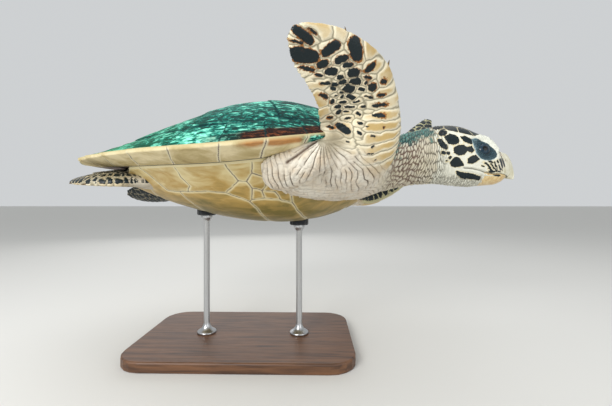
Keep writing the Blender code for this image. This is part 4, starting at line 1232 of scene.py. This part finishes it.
def wrinkleJaw(skin):
    # fine upright wrinkles below the mouth and behind the jaw
    x, z = skin.x, skin.z
    below = smoothStep(0.752, 0.775, x) * smoothStep(0.860, 0.845, x) * smoothStep(-0.019, -0.026, z)
    behind = smoothStep(0.745, 0.756, x) * smoothStep(0.785, 0.768, x) * (z < 0.012)
    jaw = np.maximum(below, 0.6 * behind) * (skin.limbOf < 0) * (skin.patch < 0)
    plane = np.stack([x / 0.0036 + 0.4 * softNoise(skin.points, 0.012, 92), skin.arc / 0.0085 + 20,
                      0 * x + 0.5], axis=1)
    cut = smoothStep(0.30, 0.0, np.abs(softNoise(plane, 1.0, 91))) * jaw
    skin.move -= 0.0006 * cut
    # the wrinkles are also darkened in colour: painted shade
    skin.crease = np.maximum(skin.crease, 0.45 * cut)


def scaleTail(skin):
    # small scales, some of them dark
    tailMask = (skin.x < 0.125) * (np.abs(skin.y) < 0.03) * (skin.limbOf < 0)
    one, two, owner = cellField(skin.x / 0.006, skin.y / 0.005 + 50, 95)
    skin.scaly = np.maximum(skin.scaly, tailMask)
    skin.seam = np.where(tailMask > 0, (two - one) / 2 * 0.0055, skin.seam)
    skin.patch = np.where(tailMask > 0, np.where(owner > 0.6, skin.seam - 0.0012, -0.004), skin.patch)
    skin.move += tailMask * 0.0005 * smoothStep(0, 0.002, skin.seam)


def buildSkin():
    mesh = buildSkinBase()
    print("skin melted:", len(mesh.polygons), "faces")
    points = readPoints(mesh)
    total = len(points)
    edges = np.empty(len(mesh.edges) * 2, np.int64)
    mesh.edges.foreach_get("vertices", edges)
    edges = edges.reshape(-1, 2)
    x = points[:, 0]
    limbOf, run, aside, across, downward = placeOnLimbs(points)
    front, hind = np.isin(limbOf, (0, 1)), np.isin(limbOf, (2, 3))
    limbStart = np.where(front, smoothStep(0.075, 0.125, run), smoothStep(0.035, 0.060, run)) * (limbOf >= 0)

    # rounder where the limbs and neck grow out of the trunk, lightly everywhere else
    root = (1 - limbStart) * smoothStep(0.40, 0.46, x) * smoothStep(0.70, 0.64, x)
    root = np.maximum(root, (1 - limbStart) * smoothStep(0.20, 0.17, x))
    points = smoothed(points, edges, 4, np.full(total, 0.5))
    points = smoothed(points, edges, 55, 0.6 * root)
    writePoints(mesh, points)
    points = shapeHead(points, readNormals(mesh))
    points = smoothed(points, edges, 1, np.full(total, 0.35))
    writePoints(mesh, points)
    normals = readNormals(mesh)
    x, y, z = points.T
    half, lowZ, highZ, _, _ = bodyAt(x)
    middle, tall = (lowZ + highZ) / 2, (highZ - lowZ) / 2
    angle = np.arctan2((z - middle) / tall, np.abs(y) / half)     # 90 degrees is the top of neck and head

    # what each region adds to: how far each point moves out, and the values the material reads
    blank = ("warm", "scaly", "crease", "upper", "lid", "brow", "pale", "rusty", "lidTone", "move", "rosy",
             "topSkin", "shoulder")
    skin = SimpleNamespace(
        points=points, x=x, y=y, z=z, mirror=np.stack([x, np.abs(y), z], axis=1),
        arc=angle * (half + tall) / 2, limbOf=limbOf, run=run, aside=aside, across=across, front=front,
        hind=hind, below=smoothStep(-0.25, 0.25, (normals * downward).sum(1)),
        seam=np.full(total, 0.02), patch=np.full(total, -0.02), inside=np.ones(total),
        dusky=0.75 * smoothStep(0.26, 0.20, x) * (limbStart < 0.9),
        **{name: np.zeros(total) for name in blank})
    for region in (markFrontFlippers, markBlades, foldShoulders, foldNeck, markHead, wrinkleJaw, scaleTail):
        region(skin)

    points = points + normals * skin.move[:, None]
    writePoints(mesh, points)
    mesh.shade_smooth()
    height = np.clip(angle / (pi / 2), -1, 1)
    toNape = height + 0.30 * smoothStep(0.745, 0.650, x) + wobble(points, (0.30, 0.007, 83), (0.16, 0.020, 84))
    keep = ("seam", "patch", "warm", "scaly", "crease", "upper", "lid", "brow", "pale", "rosy", "inside",
            "dusky", "lidTone")
    fields = {name: getattr(skin, name) for name in keep}
    onBody = skin.limbOf < 0
    fields["rusty"] = np.maximum(skin.rusty * (1 - skin.upper), skin.pale * 0.8)
    fields["neck"] = smoothStep(0.60, 0.66, x) * onBody
    # the nape: the neck's darker top, tinted green-grey partly by painted blue-green water light from above
    fields["nape"] = smoothStep(0.30, 0.66, toNape) * smoothStep(0.585, 0.62, x) * onBody * (1 - skin.topSkin)
    fields["mouth"] = lineDistance(x, z, mouthLine) + np.where((x > 0.797) & onBody, 0, 1)
    for name, values in fields.items():
        storeField(mesh, name, values)
    print("skin:", len(mesh.polygons), "faces")
    return addPiece("skin", mesh, skinMaterial(), [
        "head", "neck", "trunk", "tail", "flipper_front_right", "flipper_front_left",
        "flipper_hind_right", "flipper_hind_left"])


def skinMaterial():
    # living skin: thin horny scales over leathery hide, wet-looking on the plates and dull in the folds, with
    # shade painted into the creases
    look = skinLook
    made, tree, shader = newMaterial("turtleSkin")
    place = addNode(tree, "TexCoord")
    read = {name: addNode(tree, "Attribute", attribute_name=name)
            for name in ("seam", "patch", "warm", "scaly", "crease", "upper", "lid", "brow", "pale", "rosy",
                         "inside", "lidTone", "neck", "nape", "mouth", "rusty", "dusky")}
    # noises with features of 2.5, 20, 8 and 1.1 mm, and 2 mm pebbles
    fine, cloud, blot, speck = [addNode(tree, "TexNoise", {"Vector": place, "Scale": scale, "Detail": detail})
                                for scale, detail in ((420.0, 3.0), (45.0, 4.0), (130.0, 3.0), (900.0, 2.0))]
    grain = addNode(tree, "TexVoronoi", {"Vector": place, "Scale": 520.0})
    # source, its range, and the share given over that range
    share = {name: addNode(tree, "MapRange", dict(enumerate(row))) for name, row in {
        "deep": (cloud, 0.40, 0.70), "neck": (cloud, 0.25, 0.65, 0.35, 1.0), "napeSpeck": (fine, 0.42, 0.60),
        "nape": (fine, 0.3, 0.6, 0.7, 1.0), "seam": (read["seam"], 0.0013, 0.0003, 0.0, 0.85),
        "belowOnly": (read["upper"], 0.0, 1.0, 1.0, 0.0), "dusky": (cloud, 0.25, 0.60, 0.30, 0.95),
        "ragged": (fine, 0.2, 0.8, -0.0010, 0.0010), "wider": (blot, 0.50, 0.72, 0.0, 0.0026),
        "brown": (blot, 0.60, 0.72, 0.0, 0.35), "speck": (speck, 0.54, 0.66, 0.0, 0.85),
        "brow": (fine, 0.30, 0.52), "mouth": (read["mouth"], 0.0014, 0.0004, 0.0, 0.85),
        "cloudy": (cloud, 0.25, 0.75, 0.90, 1.06)}.items()}
    warm = addNode(tree, "Math", {0: read["warm"], 1: cloud})
    warm = addNode(tree, "MapRange", {0: warm, 1: 0.60, 2: 1.20})
    warm = addNode(tree, "Math", {0: warm, 1: read["inside"]}, operation="MULTIPLY")
    # dark middles of the scales, ragged by fine noise, rusty round the edge on the flippers
    ragged = addNode(tree, "Math", {0: read["patch"], 1: share["ragged"]})
    ring = addNode(tree, "Math", {0: ragged, 1: share["wider"]})
    ring = addNode(tree, "MapRange", {0: ring, 1: -0.0012, 2: -0.0002})
    darkShare = addNode(tree, "MapRange", {0: ragged, 1: -0.0003, 2: 0.0004})
    where = {name: addNode(tree, "Math", {0: first, 1: second}, operation="MULTIPLY", use_clamp=True)
             for name, first, second in (
                 ("neck", read["neck"], share["neck"]), ("nape", read["nape"], share["nape"]),
                 ("crease", read["crease"], 0.94), ("line", share["seam"], share["belowOnly"]),
                 ("dusky", read["dusky"], share["dusky"]), ("ring", ring, read["rusty"]))}
    # mixed tones: where, from, to
    tones = {name: addNode(tree, "Mix", {0: mask, 6: look[first], 7: look[second]}, data_type="RGBA")
             for name, mask, first, second in (
                 ("nape", share["napeSpeck"], "napeDark", "nape"),
                 ("crease", read["rosy"], "creaseGrey", "creaseRose"),
                 ("ring", read["pale"], "rust", "headRim"), ("dark", share["brown"], "dark", "darkBrown"),
                 ("lid", share["speck"], "lid", "lidSpeck"), ("brow", share["brow"], "browShade", "brow"),
                 ("scale", warm, "cream", "ochre"), ("hide", share["deep"], "white", "whiteDeep"))}
    # then one laid over another: which tone, where, with what
    for name, mask, over in (
            ("crease", read["nape"], look["napeDark"]),
            # bare hide: white at the shoulder, tan on the neck, green-grey along the nape partly as painted
            # blue-green water light, cream on the head, and painted shade in the creases
            ("hide", where["neck"], look["neck"]), ("hide", where["nape"], tones["nape"]),
            ("hide", read["pale"], look["headCream"]), ("hide", where["crease"], "crease"),
            # flipper scales: cream to ochre, a thin grey seam round each
            ("scale", read["upper"], look["bladeEdge"]), ("scale", where["line"], look["seam"]),
            ("hide", read["scaly"], "scale"), ("hide", where["dusky"], look["dusk"]),
            ("hide", where["ring"], tones["ring"]), ("hide", darkShare, tones["dark"]),
            # eyelids: slate with pale specks and creases and a painted highlight round the rim, and the pale
            # brow
            ("lid", read["lidTone"], look["lidPale"]), ("hide", read["lid"], "lid"),
            ("hide", read["brow"], tones["brow"]), ("hide", share["mouth"], look["mouth"])):
        tones[name] = addNode(tree, "Mix", {0: mask, 6: tones[name], 7: tones.get(over, over)
                                            if isinstance(over, str) else over}, data_type="RGBA")
    colour = addNode(tree, "Mix", {0: 1.0, 6: tones["hide"], 7: share["cloudy"]}, data_type="RGBA",
                     blend_type="MULTIPLY")
    rough = addNode(tree, "MapRange", {0: darkShare, 3: 0.60, 4: 0.34})
    lift = addNode(tree, "Math", {0: grain, 1: -0.35, 2: fine}, operation="MULTIPLY_ADD")
    bump = addNode(tree, "Bump", {"Height": lift, "Distance": 0.0010, "Strength": 0.5})
    feed(shader, {"Base Color": colour, "Roughness": rough, "Specular IOR Level": 0.32, "Normal": bump})
    return made


buildSkin()
print("skin ready")


# beak
beakLook = {
    "horn": "#dedbc6", "hornDeep": "#b8b08c", "streak": "#1a2a2e", "streakWarm": "#a8764a",
    "lower": "#dcc48e", "lowerDeep": "#b98f52",
    "nostril": (0.9065, 0.0042, 0.0235),
}
# rear edge of the upper horn: how far ahead it starts at each height
hornStart = [(-0.0215, 0.8580), (-0.014, 0.8625), (-0.004, 0.8670), (0.008, 0.8720), (0.016, 0.8760),
             (0.024, 0.8850), (0.036, 0.8900), (0.060, 0.8930)]


def mouthHeight(x):
    corners = np.array(mouthLine)
    return np.interp(x, corners[:, 0], corners[:, 1])


def mouthAngle(x, z):
    # angle round the head at which its surface has height z
    _, low, high, square, _ = bodyAt(x)
    q = np.clip((z - (low + high) / 2) / ((high - low) / 2), -1, 1)
    return np.arcsin(np.sign(q) * np.abs(q) ** (1 / square))


def hornMaterial(upper):
    # beak horn: grown keratin, polished by feeding, slightly see-through at the edge
    look = beakLook
    made, tree, shader = newMaterial("upperBeakHorn" if upper else "lowerBeakHorn")
    place = addNode(tree, "TexCoord")
    stretch = addNode(tree, "VectorMath", {0: place, 1: (330, 200, 60)}, operation="MULTIPLY")
    streak = addNode(tree, "TexNoise", {"Vector": stretch, "Scale": 0.8, "Detail": 3.0})
    share = addNode(tree, "MapRange", {0: streak, 1: 0.40, 2: 0.75})
    colour = addNode(tree, "Mix", {0: share, 6: look["horn" if upper else "lower"],
                                   7: look["hornDeep" if upper else "lowerDeep"]}, data_type="RGBA")
    if upper:
        mark = addNode(tree, "Attribute", attribute_name="mark")
        for low, high, most, over in ((-0.0008, 0.0, 0.35, "streakWarm"), (-0.0002, 0.0006, 1.0, "streak")):
            mask = addNode(tree, "MapRange", {0: mark, 1: low, 2: high, 4: most})
            colour = addNode(tree, "Mix", {0: mask, 6: colour, 7: look[over]}, data_type="RGBA")
    rough = addNode(tree, "MapRange", {0: streak, 3: 0.26, 4: 0.42})
    bump = addNode(tree, "Bump", {"Height": streak, "Distance": 0.0008, "Strength": 0.4})
    feed(shader, {"Base Color": colour, "Roughness": rough, "Coat Weight": 0.25, "Normal": bump})
    return made


beakMarks = [   # streaks on the upper horn: ahead, up, half length, half height, tilt
    (882, 1.5, 11.5, 3.0, -70), (888, 4.5, 12.5, 2.8, -68), (877, 9, 7.0, 1.7, -66), (878, -8, 7.5, 2.0, -60),
    (871, -9, 6.0, 1.6, -80), (876, -16, 6.5, 1.6, -8), (866, -12, 5.0, 1.3, -66),
    (884, -12, 4.0, 1.2, -40), (897, 8, 3.0, 0.8, -66),
]


def buildBeak():
    rows, columns = 60, 120
    v = np.linspace(0, 1, columns)[None, :]
    u = np.linspace(0, 1, rows)[:, None]

    # upper half: over the top from one mouth edge to the other, hooking down in front
    guess = radians(-25) + v * radians(230)
    table = np.array(hornStart)
    guessZ = bodyPoint(0.872, guess)[..., 2]
    start = np.interp(guessZ, table[:, 0], table[:, 1])
    x = start + (0.9259 - start) * u
    edgeX = x[:, :1]                                # one mouth edge for each row, so the rows never cross
    edgeZ = blendTo(mouthHeight(edgeX) + 0.0002, bodyAt(edgeX)[1] - 0.001, smoothStep(0.9080, 0.9125, edgeX))
    edge = mouthAngle(edgeX, edgeZ)
    angle = edge + v * (pi - 2 * edge)
    thick = 0.0009 * smoothStep(0.0, 0.10, u) + 0.0001
    outer = bodyPoint(x, angle, thick)
    centre = bodyPoint(x, angle, -0.0025)
    toNostril = np.linalg.norm((outer * np.array([1, 0, 1]) + np.abs(outer) * np.array([0, 1, 0]))
                               - np.array(beakLook["nostril"]), axis=-1)
    outer = outer + (centre - outer) * 0.55 * np.exp(-(toNostril / 0.0015) ** 2)[..., None]
    inner = np.where((bodyAt(x)[0] < 0.008)[..., None], blendTo(outer, centre, 0.6), centre)
    tip = outer.mean(axis=1, keepdims=True)
    closing = 0.98 * smoothStep(0.970, 1.0, u)[..., None] ** 2         # the hook closes to a point
    outer, inner = blendTo(outer, tip, closing), blendTo(inner, tip, closing)
    points = np.concatenate([outer, inner[:, ::-1]], axis=1)
    faces = tubeFaces(rows, 2 * columns)
    mesh = makeMesh("beakUpper", points.reshape(-1, 3), faces)
    flat = points.reshape(-1, 3)
    marks = ellipseDepth(flat[:, 0], flat[:, 2] + 0.0006 * softNoise(flat, 0.003, 101), beakMarks)[0]
    rearLine = (-0.0002 - 0.040 * u + 0 * points[..., 0]).ravel()
    nostrils = 0.0014 - np.concatenate([toNostril, toNostril * 0 + 1], axis=1).ravel()
    storeField(mesh, "mark", np.maximum.reduce([marks, rearLine, nostrils]))
    addPiece("beakUpper", mesh, hornMaterial(True), ["beak_upper"])

    # lower half: a scoop that closes inside the hook
    start, end = 0.8440, 0.9062
    x = start + (end - start) * np.sin(u * pi / 2) + 0 * v
    edge = mouthAngle(x, mouthHeight(x) - 0.0007)
    angle = edge - v * (pi + 2 * edge)
    thick = 0.0008 * smoothStep(0.0, 0.12, u) - 0.0001
    outer = bodyPoint(x, angle, thick)
    rounding = np.sqrt(np.clip(1 - (np.clip((x - 0.893) / 0.0158, 0, 1)) ** 2, 0.02, 1))
    outer[..., 1] *= rounding
    top = mouthHeight(x) - 0.0007
    outer[..., 2] = top + (outer[..., 2] - top) * blendTo(0.35, 1.0, rounding)
    inner = outer + (np.stack([x, 0 * x, top + 0.001], axis=-1) - outer) * 0.22
    points = np.concatenate([outer, inner[:, ::-1]], axis=1)
    mesh = makeMesh("beakLower", points.reshape(-1, 3), faces)
    addPiece("beakLower", mesh, hornMaterial(False), ["beak_lower"])


buildBeak()
print("beak ready")


# eyes
def eyeMaterial():
    # wet eye: clear cornea over a nearly black iris, so it takes one sharp highlight
    look = eyeLook
    made, tree, shader = newMaterial("wetEye")
    off = addNode(tree, "Attribute", attribute_name="off")
    fleck = addNode(tree, "TexNoise", {"Vector": addNode(tree, "TexCoord"), "Scale": 500.0, "Detail": 2.0})
    colour = addNode(tree, "Mix", {0: fleck, 6: look["irisDark"], 7: look["irisPale"]}, data_type="RGBA")
    for low, high, over in ((look["pupil"] + 0.03, look["pupil"] - 0.03, "black"),
                            (look["iris"] - 0.03, look["iris"] + 0.05, "white")):
        mask = addNode(tree, "MapRange", {0: off, 1: low, 2: high})
        colour = addNode(tree, "Mix", {0: mask, 6: colour, 7: look[over]}, data_type="RGBA")
    feed(shader, {"Base Color": colour, "Roughness": 0.30, "Specular IOR Level": 0.15, "Coat Weight": 0.45,
                  "Coat Roughness": 0.03})
    return made


def buildEyes():
    look = eyeLook
    wet = eyeMaterial()
    for side, name, node in ((-1, "eyeRight", "eye_right"), (1, "eyeLeft", "eye_left")):
        body = bmesh.new()
        bmesh.ops.create_uvsphere(body, u_segments=64, v_segments=40, radius=1.0)
        ball = np.array([vertex.co[:] for vertex in body.verts])
        faces = [[vertex.index for vertex in face.verts] for face in body.faces]
        body.free()
        gaze = unit(np.array(look["gaze"]) * np.array([1, side, 1]))
        off = np.arccos(np.clip(ball @ gaze, -1, 1))
        bulge = 1 + 0.025 * smoothStep(look["iris"], 0.0, off)
        mesh = makeMesh(name, ball * bulge[:, None] * look["radius"] + eyeSpot * np.array([1, side, 1]), faces)
        storeField(mesh, "off", off)
        addPiece(name, mesh, wet, [node])


buildEyes()
print("eyes ready")


# claws
clawLook = {"root": "#b99b62", "tip": "#4d3b22",
            "places": {"front": (0.55, 0.73), "hind": (0.52, 0.70)},
            "sizes": {"front": (0.0080, 0.0062), "hind": (0.0068, 0.0050)}}


def clawMaterial():
    # claw: solid keratin, darker and glossier towards the tip
    made, tree, shader = newMaterial("clawKeratin")
    toTip = addNode(tree, "Attribute", attribute_name="toTip")
    ring = addNode(tree, "TexNoise", {"Vector": addNode(tree, "TexCoord"), "Scale": 900.0})
    share = addNode(tree, "Math", {0: ring, 1: 0.3, 2: toTip}, operation="MULTIPLY_ADD")
    colour = addNode(tree, "Mix", {0: share, 6: clawLook["root"], 7: clawLook["tip"]}, data_type="RGBA")
    feed(shader, {"Base Color": colour, "Roughness": 0.35})
    return made


def buildClaws():
    keratin = clawMaterial()
    nodeNames = {"frontRight": "front_right", "frontLeft": "front_left", "hindRight": "hind_right",
                 "hindLeft": "hind_left"}
    for name, line in lines.items():
        end = "front" if "front" in name else "hind"
        for number, share in enumerate(clawLook["places"][end]):
            size = clawLook["sizes"][end][number]
            at = round(share * (len(line["run"]) - 1))
            along, leading, below = line["along"][at], line["leading"][at], line["under"][at]
            root = line["centre"][at] + leading * (line["width"][at] / 2 - 0.004)
            turn = 2 * pi * np.arange(20) / 20
            u = np.linspace(0, 1, 14)[:, None, None]
            spine = root + leading * size * u + along * size * u * u
            radius = size * 0.42 * (1 - u) ** 0.65 + 0.0004
            ring = along * np.cos(turn)[:, None] + below * 0.8 * np.sin(turn)[:, None]
            points = spine + radius * ring[None]
            label = "claw" + name[0].upper() + name[1:] + str(number + 1)
            mesh = makeMesh(label, points.reshape(-1, 3), tubeFaces(14, 20))
            storeField(mesh, "toTip", np.repeat(u.ravel(), 20))
            addPiece(label, mesh, keratin, [f"claw_{nodeNames[name]}_{number + 1}"])


buildClaws()
print("claws ready")


# stand
standLook = {"wood": "#6d4a30", "woodDark": "#3e281a", "steel": "#b9babb", "felt": "#22262a"}


def buildStand():
    look = standLook
    # walnut: planed, oiled and waxed; grain runs lengthwise, its lines about 3 mm apart
    walnut, tree, shader = newMaterial("oiledWalnut")
    grainPlace = addNode(tree, "VectorMath", {0: addNode(tree, "TexCoord"), 1: (9, 140, 140)},
                         operation="MULTIPLY")
    grain = addNode(tree, "TexNoise", {"Vector": grainPlace, "Scale": 1.0, "Detail": 5.0, "Distortion": 0.7})
    pores = addNode(tree, "TexNoise", {"Vector": grainPlace, "Scale": 6.0, "Detail": 2.0})
    share = addNode(tree, "MapRange", {0: grain, 1: 0.35, 2: 0.68})
    colour = addNode(tree, "Mix", {0: share, 6: look["wood"], 7: look["woodDark"]}, data_type="RGBA")
    rough = addNode(tree, "MapRange", {0: pores, 3: 0.35, 4: 0.6})
    bump = addNode(tree, "Bump", {"Height": pores, "Distance": 0.0004, "Strength": 0.3})
    feed(shader, {"Base Color": colour, "Roughness": rough, "Normal": bump})

    # stainless steel: turned on a lathe and brushed round, fine lines a millimetre apart
    steel, tree, shader = newMaterial("brushedSteel")
    linesPlace = addNode(tree, "VectorMath", {0: addNode(tree, "TexCoord"), 1: (30, 30, 1400)},
                         operation="MULTIPLY")
    brush = addNode(tree, "TexNoise", {"Vector": linesPlace, "Scale": 1.0, "Detail": 2.0})
    rough = addNode(tree, "MapRange", {0: brush, 3: 0.22, 4: 0.40})
    feed(shader, {"Base Color": look["steel"], "Metallic": 1.0, "Roughness": rough})

    # wool felt: pressed fibres, no sheen of its own
    felt, tree, shader = newMaterial("woolFelt")
    fuzz = addNode(tree, "TexNoise", {"Vector": addNode(tree, "TexCoord"), "Scale": 900.0, "Detail": 3.0})
    bump = addNode(tree, "Bump", {"Height": fuzz, "Distance": 0.0008, "Strength": 0.8})
    feed(shader, {"Base Color": look["felt"], "Roughness": 0.95, "Sheen Weight": 0.3, "Normal": bump})

    finishes = {"stand_base": walnut, "stand_pad_rear": felt, "stand_pad_front": felt}
    for name, finish in finishes.items():
        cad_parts[name].data.materials.clear()
        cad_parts[name].data.materials.append(finish)

    # the rods are turned finer than the solids, on the same profile
    for name in ("rear", "front"):
        low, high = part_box("stand_rod_" + name)
        x, foot = (low.x + high.x) / 2, low.z
        cup = high.z + 0.0003
        profile = [(0.0, foot), (0.0195, foot), (0.020, foot + 0.0006), (0.020, foot + 0.0034),
                   (0.0193, foot + 0.0042), (0.0150, foot + 0.0072), (0.011, foot + 0.0100),
                   (0.0084, foot + 0.015), (0.0065, foot + 0.022), (0.0065, cup - 0.014),
                   (0.0095, cup - 0.0085), (0.0118, cup - 0.0052), (0.012, cup - 0.0045),
                   (0.012, cup - 0.0006), (0.0116, cup - 0.0003), (0.0, cup - 0.0003)]
        turn = 2 * pi * np.arange(72) / 72
        rings = np.array([[(x + max(r, 0.0002) * cos(a), max(r, 0.0002) * sin(a), z) for a in turn]
                          for r, z in profile])
        label = "standRod" + name.capitalize()
        mesh = makeMesh(label, rings.reshape(-1, 3) - home, tubeFaces(*rings.shape[:2]))
        mesh.set_sharp_from_angle(angle=radians(50))
        addPiece(label, mesh, steel, ["stand_rod_" + name])


buildStand()
print("stand ready")
